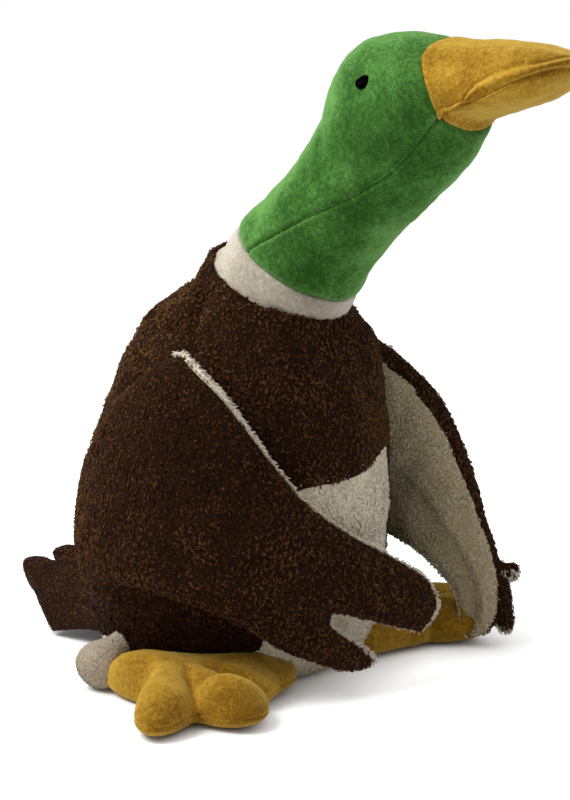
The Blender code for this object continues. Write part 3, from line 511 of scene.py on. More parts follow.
# The brown ground is far darker than the pile's middle: painted shade in the crevices between the curls.
shaded_brown_back = backing_material("shaded_brown_backing", (0.006, 0.0018, 0.0005), (0.024, 0.0078, 0.0019))
cream_back = backing_material("cream_backing", (0.68, 0.59, 0.44), (0.82, 0.74, 0.59))
# A darker, yellower copy of the cream ground: painted shade of the far lining's recess, where the ground shows
# through the pile.
shaded_lining_back = backing_material("shaded_lining_backing", (0.40, 0.31, 0.17), (0.56, 0.47, 0.30))
leg_back = backing_material("leg_backing", (0.40, 0.33, 0.24), (0.46, 0.385, 0.29))
green_velour = velour_material("green_velour", (0.022, 0.078, 0.010), (0.052, 0.165, 0.026),
                               (0.125, 0.310, 0.072), (0.55, 0.95, 0.4))
yellow_velour = velour_material("yellow_velour", (0.23, 0.110, 0.008), (0.39, 0.208, 0.017),
                                (0.57, 0.350, 0.042), (1.0, 0.8, 0.3))
foot_velour = velour_material("foot_velour", (0.19, 0.088, 0.006), (0.34, 0.180, 0.014),
                              (0.50, 0.295, 0.033), (1.0, 0.8, 0.3))
ring_velour = velour_material("ring_velour", (0.36, 0.31, 0.24), (0.50, 0.445, 0.36),
                              (0.66, 0.60, 0.50), (1.0, 0.95, 0.85))
thread, tree, shader = material("eye_thread", {"Roughness": 0.9, "Specular IOR Level": 0.0})
wave = add(tree, "TexWave", {"Scale": 420.0, "Distortion": 1.5,
                             "Vector": add(tree, "TexCoord", output="Object")}, "Fac")
put(shader, {"Base Color": ramp(tree, [(0.2, (0.0006, 0.0006, 0.0008)),
                                       (0.9, (0.003, 0.0028, 0.0034))], wave),
             "Normal": bumps(tree, wave, 0.6, 0.3)})


# ---------------------------------------------------------------- the forms' sizes

neck_lean = math.radians(35.0)
neck_way = np.array([0.0, -math.sin(neck_lean), math.cos(neck_lean)])
front_way = np.array([0.0, -math.cos(neck_lean), -math.sin(neck_lean)])
side_way = np.array([1.0, 0.0, 0.0])
torso_height = 197.0 * MM
rim_centre = np.array([0.0, -29.2 * MM, torso_height])
neck_pivot = rim_centre - neck_way * 7.3 * MM
ring_radius = 35.0 * MM
ring_seat = neck_pivot + np.array([0.0, 2.6 * MM, 0.0])
ring_top = 30.0 * MM
ring_centre = neck_pivot + neck_way * ring_top
head_start = ring_centre + neck_way * 0.3 * MM
torso = Form((0.0, 0.0), 81.0 * MM, torso_height, 82.0 * MM, torso_shares,
             last=(round_rib(rim_centre, 38.92 * MM, math.radians(23.6)),), folds=torso_folds)
head = Form((head_start[1], head_start[2]), 163.0 * MM, 97.0 * MM, 35.5 * MM, head_shares,
            first=(round_rib(head_start, ring_radius, neck_lean),))


# ---------------------------------------------------------------- torso

# Degrees from the front, and height in mm
hem_curve = pair_curve(((-180, 19), (-140, 20), (-112, 23), (-98, 20), (-82, 18.5), (-62, 18.5),
                        (-50, 20.5), (-42, 24)))
bib_curve = pair_curve(((-45, 107.5), (-23, 106.5), (-14, 106.5), (-4, 108.5), (6, 112), (16, 117),
                        (32, 121), (45, 121)))


def coat_edge(turn):
    """Height of the coat's lower edge: a raised bib in front, a hem round the rest."""
    degrees = np.degrees(turn)
    hem, bib = hem_curve(-np.abs(degrees)), bib_curve(degrees)
    share = within(np.abs(degrees) / 42.0)
    return (hem + (bib - hem) * (1.0 - share ** 12)) * MM


# Lines in mm along which the wing and the shoulder pull the coat in, and where the pile gets painted shade
shoulder_line = ((-30, -4, 207), (-43, -10, 197), (-51, -13, 190), (-58, -16, 181),
                 (-61, -20, 175))
back_line = ((-39, 28, 187), (-54, 8, 185), (-59, -7, 180), (-63, -17, 173))
wing_line = ((-68, -11, 171), (-68, 0, 165), (-65, 24, 147), (-64, 39, 122))


def beside(p, line, half):
    """1 on a line of places, fading out at about half to either side of it, both in mm."""
    path = smooth_curve(line)(np.linspace(0, 1, 24)) * MM
    return np.exp(-np.min([((p - q) ** 2).sum(axis=-1) for q in path], axis=0) / (half * MM) ** 2)


dents = waves(3, 0.055)
folds = waves(4, 0.030)


def torso_skin(turn, along, lift):
    point, out = torso.point(turn, along), torso.normal(turn, along)
    point = point + out * lift
    fade = within(point[..., 2] / (25.0 * MM)) * within((1 - along) / 0.08)
    soft = dents(point * (1, 1, 0.6)) * 0.8 * MM + folds(point) * 0.6 * MM
    degrees = np.degrees(turn)
    over_hip = 6.0 * MM * bump(np.abs(degrees) - 100.0, 26.0) * bump(along - 0.13, 0.09)
    chest = 5.0 * MM * bump(degrees - 38.0, 24.0) * bump(along - 0.93, 0.09)
    shoulder = 3.0 * MM * bump(degrees + 146.0, 26.0) * bump(along - 0.72, 0.12)
    sewn = 4.0 * MM * (beside(point, shoulder_line, 4) + beside(point, back_line, 4.5))
    return point + out * (soft * fade + over_hip + chest + shoulder - sewn)[..., None]


turns = circle(200)
turns = np.where(turns > math.pi, turns - 2 * math.pi, turns)
_, low = torso.at_height(turns, coat_edge(turns))
share = np.linspace(0, 1, 90)[:, None]
along = low + (0.95 - low) * share


def clear_of_ring(p):
    """Moves places of the coat out of the ring's ball."""
    offset = p - ring_seat
    away = np.linalg.norm(offset, axis=-1, keepdims=True)
    return np.where(away < 41.0 * MM, ring_seat + offset / away * 41.0 * MM, p)


coat_points = clear_of_ring(torso_skin(np.broadcast_to(turns, along.shape), along, -1.2 * MM))
# The coat's collar rises round the ring, higher in front, and rolls in against it
offset = coat_points[-1] - ring_seat
height_from, away_front, away_side = offset @ neck_way, offset @ front_way, offset @ side_way
away_from, round_neck = np.hypot(away_front, away_side), np.arctan2(away_side, away_front)
round_way = around(round_neck, front_way, side_way)
front_share = ((1 + np.cos(round_neck)) / 2) ** 2
height_to = (9.4 + 9.6 * front_share) * MM


def ring_away(height):
    return np.maximum(35.7 * MM, np.sqrt(np.maximum((39.4 * MM) ** 2 - height ** 2, 0.0)))


def collar_row(height, away):
    row_ = ring_seat + height[:, None] * neck_way + away[:, None] * round_way
    return row_ + folds(row_)[:, None] * 0.5 * MM * neck_way


collar = []
for share_ in np.linspace(0, 1, 11)[1:]:
    away = away_from + (ring_away(height_to) + 2.6 * MM - away_from) * share_ ** 0.8
    fuller = 3.0 * MM * bump(np.degrees(round_neck) - 42.0, 30.0)
    away = away + fuller * math.sin(math.pi * share_ * 0.8)
    collar.append(clear_of_ring(collar_row(height_from + (height_to - height_from) * share_, away)))
for up, off in ((0.9, 2.0), (1.2, 1.0), (0.7, 0.2), (-1.5, -0.4)):
    collar.append(collar_row(height_to + up * MM, ring_away(height_to) + off * MM))
coat = surface("coat_skin", np.concatenate([coat_points, collar]), shaded_brown_back, None)
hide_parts("chest_panel", "back_panel", "torso_stuffing")

share = np.linspace(0, 1, 40)[:, None]
along = np.minimum(low + 0.02, 1.0) * share
belly_points = torso_skin(np.broadcast_to(turns, along.shape), along, -1.8 * MM)
belly = surface("belly_skin", above(belly_points, 0.0), cream_back, "torso", caps=(0,))
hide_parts("belly_panel")


def soft_patch(p, place, size_):
    """A soft patch round a place in mm."""
    return np.exp(-((p / MM - place) ** 2 / np.array(size_, float) ** 2).sum(axis=-1))


nap_patch = waves(61, 0.018)


painted_light_spots = (  # painted highlight and painted shade spots: how much paler, where, and how far each way, in mm
    (-0.12, (-90, -10, 105), (30, 26, 40)), (-0.24, (-84, -41, 122), (18, 26, 30)),
    (-0.14, (-75, 26, 124), (16, 18, 26)), (0.32, (-45, 5, 180), (34, 34, 34)),
    (0.14, (-60, 40, 140), (14, 22, 34)), (-0.14, (-50, -62, 128), (22, 22, 26)),
    (0.26, (18, -80, 133), (26, 22, 32)),
)


def nap_and_painted_light(p):
    """How the brown pile's shade varies: random brushed patches, a painted highlight paler towards the back and in
    lit spots, and painted shade in darker spots, along the shoulder, back and wing creases and under the wings.
    """
    # Painted highlight: paler towards the back.
    total = 0.12 * within((p[:, 1] / MM + 10.0) / 60.0) + 0.08 * nap_patch(p)
    for paler, place, size_ in painted_light_spots:
        total = total + paler * soft_patch(p, place, size_)
    # Painted shade in the creases where the shoulder, the back and the wing pull the coat in.
    for darker, line, half in ((0.38, shoulder_line, 4.5), (0.26, back_line, 5),
                               (0.20, wing_line, 9)):
        total = total - darker * beside(p, line, half)
    return total


# The coat also gets painted shade low down, below 50 mm, where the wing's edge shadows it.
def coat_nap_and_painted_light(p):
    return nap_and_painted_light(p) - 0.40 * within((50.0 - p[:, 2] / MM) / 18.0)


# ---------------------------------------------------------------- neck ring and head

# Radius and height in mm: a ball's lower rows, in degrees from its axis, then the band
ball_rows = ((98, 39.2), (90, 39.4), (82, 39.4), (75, 39.0), (68, 38.2))
profile = [(r * math.sin(math.radians(d)), r * math.cos(math.radians(d))) for d, r in ball_rows]
profile += [(35.9, 19.5), (35.6, 23.0), (35.4, 26.0), (35.1, 28.2), (34.4, 29.6), (33.0, 30.0)]
turn = np.linspace(0, 2 * math.pi, 121)[:-1]
rings = []
for radius, height in smooth_curve(profile)(np.linspace(0, 1, 40)):
    wobble = 0.25 * np.sin(turn * 5 + height * 0.2) * MM
    rings.append(ring_seat + neck_way * height * MM
                 + (radius * MM + wobble)[:, None] * around(turn, front_way, side_way))
ring = surface("ring_skin", np.array(rings), ring_velour, "neck")
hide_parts("neck_ring", "neck_stuffing")

bill_curve = pair_curve([(degrees / 180.0, share) for degrees, share in bill_seam_shares])


def bill_base(turn):
    return bill_curve(np.abs(turn) / math.pi)


gusset_curve, mouth_curve = pair_curve(gusset_shares), pair_curve(mouth_shares)
mouth_along = gusset_shares[-1][0]
head_length = 190 * MM
head_dents = waves(8, 0.030)
head_soft = waves(9, 0.012)


def wrap(turn):
    return (turn + math.pi) % (2 * math.pi) - math.pi


def crowded(count, power=1.6):
    """Shares from 0 to 1 that crowd towards both ends."""
    x = np.linspace(-1, 1, count)
    return 0.5 + 0.5 * np.sign(x) * (1 - (1 - np.abs(x)) ** power)


def round_turns(edge, throat, cheek):
    """Turns round a rib: from seam to seam in front, then from seam to seam behind."""
    return np.concatenate([edge * throat, edge + (2 * math.pi - 2 * edge) * cheek], axis=1)


throat = crowded(46)[:-1] * 2 - 1
cheek = crowded(76)[:-1]
row = np.linspace(0, 1, 130)[:, None]
edge = np.radians(gusset_curve(mouth_along * row))
turn = round_turns(edge, throat, cheek)
along = bill_base(wrap(turn[-1:])) * row
point, out = head.point(turn, along), head.normal(turn, along)
point = point + (ring_seat - neck_pivot) * ease(1 - along / 0.23)[..., None]
width = head.rib(along)[..., 4]
seam = np.abs(np.abs(wrap(turn)) - edge) * width
crown = np.abs(np.abs(wrap(turn)) - math.pi) * width
away = (1 - row) * 68 * MM
from_ring = along * head_length
stitch = 0.5 + 0.5 * np.sin(from_ring / (2.6 * MM) * 2 * math.pi)
lift = -(0.95 + 0.35 * stitch) * bump(seam, 0.85 * MM) + 0.40 * bump(seam - 2.8 * MM, 1.8 * MM)
lift += -0.35 * bump(crown, 0.8 * MM) * within(along / 0.2)
lift += -0.6 * bump(away, 1.1 * MM) + 0.15 * bump(away - 3.5 * MM, 2.2 * MM)
lift += 1.0 * bump(from_ring - 4 * MM, 4 * MM) - 1.6 * bump(from_ring, 1.3 * MM)
lift += 0.5 * head_dents(point) + 0.16 * head_soft(point)
green = surface("head_skin", point + out * (lift * MM)[..., None], green_velour, "head")
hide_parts("head_left", "head_right", "throat_panel", "head_stuffing")

# Bill: a raised seam runs along each side, from the mouth's corner to the tip
row = 1 - (1 - np.linspace(0, 1, 110)[:, None]) ** 1.15
edge = np.radians(mouth_curve(mouth_along + (1 - mouth_along) * row))
turn = round_turns(edge, throat, cheek)
start = bill_base(wrap(turn[:1]))
along = start + (0.998 - start) * row
point, out = head.point(turn, along), head.normal(turn, along)
rib = head.rib(along)
half = np.linalg.norm(rib[..., 0:2] - rib[..., 2:4], axis=-1) / 2
seam = (np.abs(wrap(turn)) - edge) * np.minimum(half, rib[..., 4])
lift = 1.9 * bump(seam, 1.4 * MM) - 1.2 * bump(seam + 3.0 * MM, 0.9 * MM)
lift += 0.3 * bump(seam + 5.5 * MM, 1.4 * MM) - 0.6 * bump(seam - 2.8 * MM, 0.9 * MM)
lift = lift * within((1 - along) / 0.05)
from_base = (along - start) * head_length
lift += -0.7 * bump(from_base, 1.2 * MM) + 0.15 * bump(from_base - 3.5 * MM, 2.2 * MM)
lift += 0.45 * head_dents(point * 1.3) + 0.12 * head_soft(point)
bill = surface("bill_skin", point + out * (lift * MM)[..., None], yellow_velour, "head",
               caps=(-1,))
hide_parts("bill_top", "bill_bottom")

# Eyes: embroidered drops, laid on the head's curve
eye_turn, eye_along, eye_radius, head_radius = math.radians(109.0), 0.394, 3.5 * MM, 35.5 * MM
for side, name in ((1.0, "left"), (-1.0, "right")):
    turn = side * eye_turn
    centre, out = head.point(turn, eye_along), head.normal(turn, eye_along)
    up = unit(head.point(turn + side * 1e-3, eye_along) - centre)
    ahead = unit(head.point(turn, eye_along + 1e-3) - centre)
    angles = circle(48)
    drop = 1.0 + 0.48 * np.maximum(np.cos(angles - 0.15), 0.0) ** 5
    rings = []
    for s, h in ((1.0, -0.8), (1.0, 0.1), (0.95, 0.5), (0.8, 0.85), (0.5, 1.1), (0.2, 1.2)):
        rings.append(centre + around(angles, ahead, up) * (eye_radius * s * drop)[:, None]
                     + out * ((h * MM) - (eye_radius * s) ** 2 / (2 * head_radius)))
    eye = surface("eye_thread_" + name, np.array(rings), thread, "head", caps=(0, -1))
    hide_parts("eye_" + name)


# ---------------------------------------------------------------- wings

wing_thickness = 12.0 * MM
# (degrees from the front, share of the torso's height, stand-off in wing thicknesses)
near_upper = (
    (152, 0.46, -0.40), (139, 0.58, -0.30), (126, 0.69, -0.15), (114, 0.785, 0.00),
    (103, 0.850, 0.20), (92, 0.872, 0.44), (80, 0.836, 0.58), (67, 0.782, 0.66), (55, 0.705, 0.68), (47, 0.642, 0.70),
    (38, 0.570, 0.74), (31, 0.512, 0.80), (16, 0.425, 0.98), (0, 0.350, 1.35), (-10, 0.290, 1.95),
    (-17, 0.225, 2.9),
)
near_lower = (
    (152, 0.25, -0.40), (139, 0.235, -0.20), (126, 0.235, 0.10), (114, 0.262, 0.60),
    (103, 0.284, 1.10), (92, 0.298, 1.45), (84, 0.303, 1.62), (76, 0.296, 1.68), (66, 0.275, 1.66), (58, 0.250, 1.58),
    (48, 0.200, 1.48), (38, 0.142, 1.42), (27, 0.100, 1.45), (15, 0.060, 1.60), (8, 0.042, 1.80),
    (2, 0.038, 1.95),
)
far_upper = (
    (150, 0.46, -0.10), (137, 0.58, 0.00), (124, 0.69, 0.10), (112, 0.785, 0.20), (102, 0.850, 0.30),
    (92, 0.885, 0.42), (80, 0.855, 0.80), (67, 0.805, 1.40), (60, 0.750, 2.1), (55, 0.680, 2.8),
    (51.5, 0.575, 3.5), (49, 0.460, 4.1), (48, 0.345, 4.7), (47.5, 0.230, 5.3), (46.5, 0.125, 5.8),
    (45, 0.030, 6.1),
)
far_lower = (
    (150, 0.27, -0.10), (137, 0.27, 0.00), (124, 0.28, 0.15), (112, 0.295, 0.30), (102, 0.31, 0.45),
    (92, 0.320, 0.58), (85, 0.312, 0.75), (78, 0.300, 0.90), (71, 0.287, 1.15), (64, 0.270, 1.5),
    (58, 0.243, 2.0), (53, 0.205, 2.6), (50, 0.165, 3.2), (47.5, 0.115, 3.7), (45.5, 0.065, 4.1),
    (44, 0.025, 4.4),
)


class Sheet:
    def __init__(self, upper, lower, side, outline):
        self.edges = smooth_curve(lower), smooth_curve(upper)
        self.side, self.outline = side, outline

    def point(self, along, across):
        along, across = np.broadcast_arrays(np.asarray(along, float), np.asarray(across, float))
        reach = along * self.outline(across)
        low, high = self.edges[0](reach), self.edges[1](reach)
        row_ = low + (high - low) * across[..., None]
        turn_ = self.side * np.radians(row_[..., 0])
        point_, _ = torso.at_height(turn_, row_[..., 1] * torso_height)
        out_ = np.stack([np.sin(turn_), -np.cos(turn_), np.zeros_like(turn_)], axis=-1)
        return point_ + out_ * (row_[..., 2] * wing_thickness)[..., None]

    def normal(self, along, across, step=2e-3):
        ahead = self.point(along + step, across) - self.point(along - step, across)
        sideways = self.point(along, across + step) - self.point(along, across - step)
        return unit(np.cross(sideways, ahead)) * self.side


def near_outline(across):
    """A long finger next to the leading edge, a notch, and a short finger."""
    long_ = 1.0 - np.where(across > 0.66, 0.05 * within((across - 0.66) / 0.34) ** 3,
                           0.20 * ease(((0.66 - across) / 0.325 - 0.35) / 0.47))
    short = 0.93 - np.where(across > 0.11, 0.13 * ease(((across - 0.11) / 0.225 - 0.1) / 0.8),
                            0.08 * within((0.11 - across) / 0.11) ** 3)
    return np.where(across > 0.335, long_, short)


def far_outline(across):
    """One broad rounded finger; the sheet behind it ends a little sooner."""
    x = np.clip(np.abs(across - 0.55) / np.where(across > 0.55, 0.45, 0.55), 0.0, 1.0)
    return 1.0 - np.where(across > 0.55, 0.04, 0.05) * x ** 3.0


def pad(sheet, rows, columns, thick, root_thick, blunt):
    """The closed skin of a padded sheet: rings that go round it, from root to tip."""
    share_ = np.linspace(0, 1, columns)
    eased = 0.35 * share_ + 0.65 * (0.5 - 0.5 * np.cos(math.pi * share_))
    s_ = 1 - (1 - np.linspace(0, 1, rows)) ** 1.25
    along_, across_ = np.meshgrid(s_, eased, indexing="ij")
    middle_, out_ = sheet.point(along_, across_), sheet.normal(along_, across_)
    side_edge = np.sqrt(within(1 - np.abs(2 * across_ - 1) ** blunt))
    tip_edge = np.sqrt(np.clip(1 - along_ ** 14, 0.0004, 1))
    body_ = root_thick + (thick - root_thick) * within(along_ / 0.35)
    quilt = 1.0 + 0.10 * folds(middle_)
    half_ = body_ / 2 * side_edge * tip_edge * quilt
    sewn = 2.5 * MM * beside(middle_, wing_line, 9)
    top, low_ = middle_ + out_ * (half_ - sewn)[..., None], middle_ - out_ * half_[..., None]
    ring_ = np.concatenate([top, low_[:, ::-1][:, 1:-1]], axis=1)
    return above(ring_, 0.8 * MM)


def hang(name, sheet, top_material, under_material, thick, root_thick, rows=110, columns=46,
         lead_wrap=1.5 * MM, trail_wrap=5.0 * MM, fold=None, blunt=2.6, trim_from=0.0):
    """A padded sheet. Its lining starts lead_wrap before the leading edge, as seen from
    above, and stops trail_wrap before the trailing edge."""
    ring_, split = pad(sheet, rows, columns, thick, root_thick, blunt), columns
    if fold is not None:
        ring_ = fold(ring_, split)
    item = surface(name, ring_, top_material, None, caps=(0,), split=split)
    item.data.materials.append(under_material)
    total = ring_.shape[1]
    step_ = np.linalg.norm(np.roll(ring_, -1, axis=1) - ring_, axis=2)
    run = np.concatenate([np.zeros((len(ring_), 1)), np.cumsum(step_, axis=1)], axis=1)
    ahead_ = np.linspace(0, 1, len(ring_))[:, None] > trim_from
    lead = run[:, split - 1:split] - np.where(ahead_, lead_wrap, -6.0 * MM)
    back_ = run[:, -1:] - trail_wrap
    middle_run = (run[:, :-1] + run[:, 1:]) / 2
    under_ = (middle_run > lead) & (middle_run < back_) | (middle_run < -trail_wrap)
    index = np.zeros(len(item.data.polygons), np.int32)
    index[:(len(ring_) - 1) * total] = under_[:-1].ravel()
    item.data.polygons.foreach_set("material_index", index)
    return item


def lining_fold(ring_, split):
    """The far wing's lining is full in front and sinks in behind a long crease."""
    count = ring_.shape[1] - split
    share_ = np.linspace(0, 1, count + 2)[1:-1]
    inwards = ring_[:, split:] - ring_[:, split - 2:0:-1][:, :count]
    thick_ = np.linalg.norm(inwards, axis=2)
    way_ = unit(inwards)
    sunk = within((share_ - 0.50) / 0.10)
    puff = 6.0 * MM * bump(share_ - 0.26, 0.22) - 9.0 * MM * sunk * (3 - 2 * sunk) * sunk
    fade_ = 1 - 0.8 * ease((np.linspace(0, 1, len(ring_)) - 0.40) / 0.35)[:, None]
    puff = np.where(puff > 0, puff * fade_, puff) * within(thick_ / (9 * MM))
    ring_[:, split:] += way_ * puff[..., None]
    return ring_


near = Sheet(near_upper, near_lower, -1.0, near_outline)
far = Sheet(far_upper, far_lower, 1.0, far_outline)
wing_right = hang("wing_right_skin", near, shaded_brown_back, cream_back, 16 * MM, 11 * MM,
                  lead_wrap=2.0 * MM, trail_wrap=7 * MM, trim_from=0.31)
wing_left = hang("wing_left_skin", far, shaded_brown_back, shaded_lining_back, 15 * MM, 8 * MM, blunt=5.0,
                 lead_wrap=-2.5 * MM - 15.0 * MM * np.linspace(0, 1, 110)[:, None],
                 trail_wrap=-7.0 * MM, fold=lining_fold)
wings = {"right": (wing_right, -1), "left": (wing_left, 1)}


screen_side, screen_back = np.array([0.6, -0.8, 0.0]), np.array([0.8, 0.6, 0.0])


def finger(name, start, end, half_width, half_thick, seed, pale):
    """A small padded feather, flat across the line of sight. pale picks its cream side."""
    start, end = np.array(start, float) * MM, np.array(end, float) * MM
    flat_way = unit(np.cross(end - start, screen_back))
    share_ = np.linspace(0, 1, 36)[:, None]
    full = np.sqrt(np.clip(1 - np.abs(2 * share_ - 1) ** 5, 0.0004, 1))
    turns_ = circle(40)
    rings_ = (start + (end - start) * share_)[:, None] + full[..., None] * MM * (
        half_width * np.cos(turns_)[None, :, None] * flat_way
        + half_thick * np.sin(turns_)[None, :, None] * screen_back)
    skin = surface(name, above(rings_, 0.8 * MM), shaded_brown_back, "wing_left", caps=(0, -1))
    brown_part = pile(name + "_pile", skin, brown_pile, "wing_left", 1.4, 2.4, 0.5,
                      down_and(0.3), seed=seed, keep=lambda p, n: ~pale(p, n))
    cream_part = pile(name + "_edge", skin, cream_pile, "wing_left", 1.1, 2.4, 0.42,
                      down_and(0.3), seed=seed + 1, keep=pale)


def part_faces(item, index):
    """A copy of the faces that have one of an item's materials."""
    copy = bpy.data.objects.new(item.name + "_part", item.data.copy())
    bm = bmesh.new()
    bm.from_mesh(copy.data)
    drop = [f for f in bm.faces if f.material_index != index]
    bmesh.ops.delete(bm, geom=drop, context="FACES")
    bm.to_mesh(copy.data)
    bm.free()
    return copy


def down_and(front):
    return 0.0, -front, -1.0


def trim(name, sheet, seed):
    """The lining's long fibres that show past the leading edge and round the fingers."""
    ahead_ = np.linspace(0.325, 1.0, 120)
    round_tip = np.linspace(1.0, 0.10, 90)[1:]
    rim = np.concatenate([sheet.point(ahead_, np.ones(120)), sheet.point(np.ones(89), round_tip)])
    inner = np.concatenate([sheet.point(ahead_, np.full(120, 0.95)),
                            sheet.point(np.full(89, 0.965), round_tip)])
    across_way = unit(rim - inner)
    along_way = unit(np.gradient(rim, axis=0))
    out_way = unit(np.cross(along_way, across_way))
    out_way *= np.sign((out_way * (rim - [0, 0.0, 0.1])).sum(1))[:, None]
    share_ = np.linspace(0, 1, len(rim))
    places = (0, 0.09, 0.18, 0.27, 0.36, 0.45, 0.54, 0.62, 0.70, 0.77, 0.86, 0.90, 0.96, 1)
    wide = np.interp(share_, places, (0.9, 1.6, 1.5, 1.0, 0.5, 0.5, 1.3, 1.5, 1.0, 0.3, 0.3, 1.6,
                                      2.2, 0.8)) * MM
    middle_ = rim + across_way * (0.9 * MM) - out_way * (0.6 * MM)
    turns_ = np.arange(8) * math.pi / 4
    rings_ = middle_[:, None] + wide[:, None, None] * (
        np.cos(turns_)[None, :, None] * across_way[:, None]
        + np.sin(turns_)[None, :, None] * out_way[:, None])
    roll = surface(name, rings_, cream_back, None, caps=(0, -1))
    fibres = pile(name + "_pile", roll, cream_pile, None, 0.80, 2.8, 0.36,
                  down_and(0.3), lean=0.35, curl=1.3, seed=seed)
    for piece in (roll, fibres):
        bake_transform(piece)


def recess(p):
    """The far lining's painted shade behind its crease, and painted highlight in front of it."""
    crease_ = np.interp(p[:, 2] / MM, (52, 66, 81, 95, 110, 133),
                        (96.7, 95.4, 87.9, 78.8, 74.2, 71.7))
    return 0.30 - 0.85 * within((crease_ - p @ screen_side / MM) / 5.0)


trim("wing_right_trim", near, 25)
finger("wing_left_finger", (105.0, -97.0, 47.0), (103.0, -105.0, 7.0), 5.0, 5.0, 91,
       lambda p, n: (p[:, 2] < 11.0 * MM) | (n @ screen_side < -0.80))
finger("wing_left_small_finger", (101.0, -94.0, 39.0), (111.0, -108.0, 41.0), 5.0, 3.5, 95,
       lambda p, n: n[:, 2] < 0.45)
for side_name, (item, side) in wings.items():
    body = "wing_" + side_name
    top_part, under_part = part_faces(item, 0), part_faces(item, 1)
    top_pile = pile(f"wing_{side_name}_top_pile", top_part, brown_pile, None, 1.18, 2.7,
                    0.39, down_and(0.6), seed=11 + side, tone=nap_and_painted_light, clump=2.1)
    under_pile = pile(f"wing_{side_name}_lining_pile", under_part, lining_fibre, None, 1.15,
                      1.9, 0.46, down_and(0.5), seed=21 + side, tone=recess,
                      keep=lambda p, n: p[:, 1] < 0.012)
    for piece, slot_name in ((item, "brown_pile"), (top_pile, "brown_pile"),
                             (under_pile, "cream_pile")):
        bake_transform(piece)
    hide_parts(body + "_top", body + "_lining", body + "_wadding")
    bpy.data.objects.remove(top_part)
    bpy.data.objects.remove(under_part)


# ---------------------------------------------------------------- tail

def tail_point(along, across):
    """Two feathers: the near one is longer, and its side droops to the floor."""
    along, across = np.broadcast_arrays(np.asarray(along, float), np.asarray(across, float))
    wide = 2 * across - 1
    ahead = np.clip(along, 0, None)
    near_side, far_side = within(-wide), within(wide)
    x = 35.0 * MM * wide * (1.0 - 0.12 * ahead ** 1.5)
    turn_ = math.pi - np.arcsin(np.clip(x / (82.0 * MM), -1, 1))
    root_, _ = torso.at_height(turn_, 21.5 * MM)
    feathers = 1.0 - 0.16 * bump(wide - 0.34, 0.10) + 0.03 * bump(wide + 0.10, 0.2)
    y = root_[..., 1] - 4.0 * MM + 84.0 * MM * along * feathers * (
        1 - 0.50 * near_side ** 1.6 - 0.12 * far_side ** 2)
    z = (16.0 - 5.0 * near_side ** 2 + (13.0 - 20.0 * near_side ** 1.9 + 8.0 * far_side)
         * ahead ** 1.3 + 1.5 * np.cos(wide * math.pi * 3) * ahead ** 2) * MM
    return np.stack([x, y, z], axis=-1)


tail_sheet = Sheet(near_upper, near_lower, 1.0, None)
tail_sheet.point = tail_point
tail = hang("tail_skin", tail_sheet, shaded_brown_back, shaded_brown_back, 10 * MM, 17 * MM, rows=60, columns=70)
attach(tail, "tail")
tail_pile = pile("tail_pile", tail, brown_pile, "tail", 1.15, 2.1, 0.38,
                 (0.0, 1.0, -0.1), seed=31, wild=0.4, lean=0.8, tone=nap_and_painted_light)
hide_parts("tail_top", "tail_bottom", "tail_wadding")


# ---------------------------------------------------------------- legs and feet

foot_curve = pair_curve([(degrees / 360.0 + 0.5, share) for degrees, share in foot_shares])
foot_dents = waves(12, 0.022)


def seen_along(degrees, outwards, forwards):
    """Places on the foot, as ahead and aside of a line at some degrees."""
    sine, cosine = math.sin(math.radians(degrees)), math.cos(math.radians(degrees))
    return outwards * sine + forwards * cosine, outwards * cosine - forwards * sine


def foot_groove(outwards, forwards):
    """Depth of the creases between the toes and behind the middle toe, in mm."""
    depth = np.zeros(outwards.shape)
    for degrees, start_, deep in ((-15.0, 9.0, 6.5), (41.0, 7.0, 6.5)):
        ahead, aside = seen_along(degrees, outwards, forwards)
        fade = within((ahead - start_) / 14.0)
        depth = depth + deep * fade * np.exp(-np.abs(aside / 3.6) ** 1.3)
    ahead, aside = seen_along(15.0, outwards, forwards)
    return depth + 4.0 * np.exp(-np.abs((ahead - 25.0) / 4.5) ** 1.5 - (aside / 12.0) ** 4)


def foot_fullness(outwards, forwards):
    """How much the ankle's side and the toes rise over the flat foot, in mm."""
    rise = np.zeros(outwards.shape)
    for out_, ahead, wide, high in ((16, -18, 20, 6.0), (10, 38, 14, 4.5), (38, 15, 15, 3.0),
                                    (-36, 15, 15, 2.0)):
        rise = rise + high * np.exp(-((outwards - out_) ** 2 + (forwards - ahead) ** 2) / wide ** 2)
    return rise


def foot_points(side):
    turns_ = circle(240)
    degrees = np.degrees(turns_)
    degrees = np.where(degrees > 180, degrees - 360, degrees)
    reach = foot_curve(degrees / 360 + 0.5) * 52.0 * MM
    reach = reach * (1 - 0.07 * bump(degrees + 17.0, 7.0) - 0.07 * bump(degrees - 41.0, 7.0))
    rings_ = []
    for level in np.linspace(-1, 1, 81):
        up = level > 0
        angle = abs(level) * math.pi / 2
        rise, span = math.sin(angle), max(math.cos(angle), 0.0) ** (0.62 if up else 0.35)
        z = 8.0 + 13.5 * rise if up else 8.0 - 8.5 * rise
        seam_ = -0.9 * bump(z - 8.0, 0.9) * MM
        out_reach = (reach + seam_) * span
        outwards, forwards = out_reach * np.sin(turns_), out_reach * np.cos(turns_)
        place = outwards / MM, forwards / MM
        change = foot_fullness(*place) - foot_groove(*place)
        height = z + change * min(max(z - 8.0, 0.0) / 9.0, 1.0)
        rings_.append(np.stack([side * (88.0 * MM + outwards), -34.0 * MM - forwards,
                                np.maximum(height, 0.0) * MM], axis=-1))
    points = np.array(rings_)
    points[..., 2] += foot_dents(points) * 0.6 * MM * within(points[..., 2] / (6 * MM))
    return points


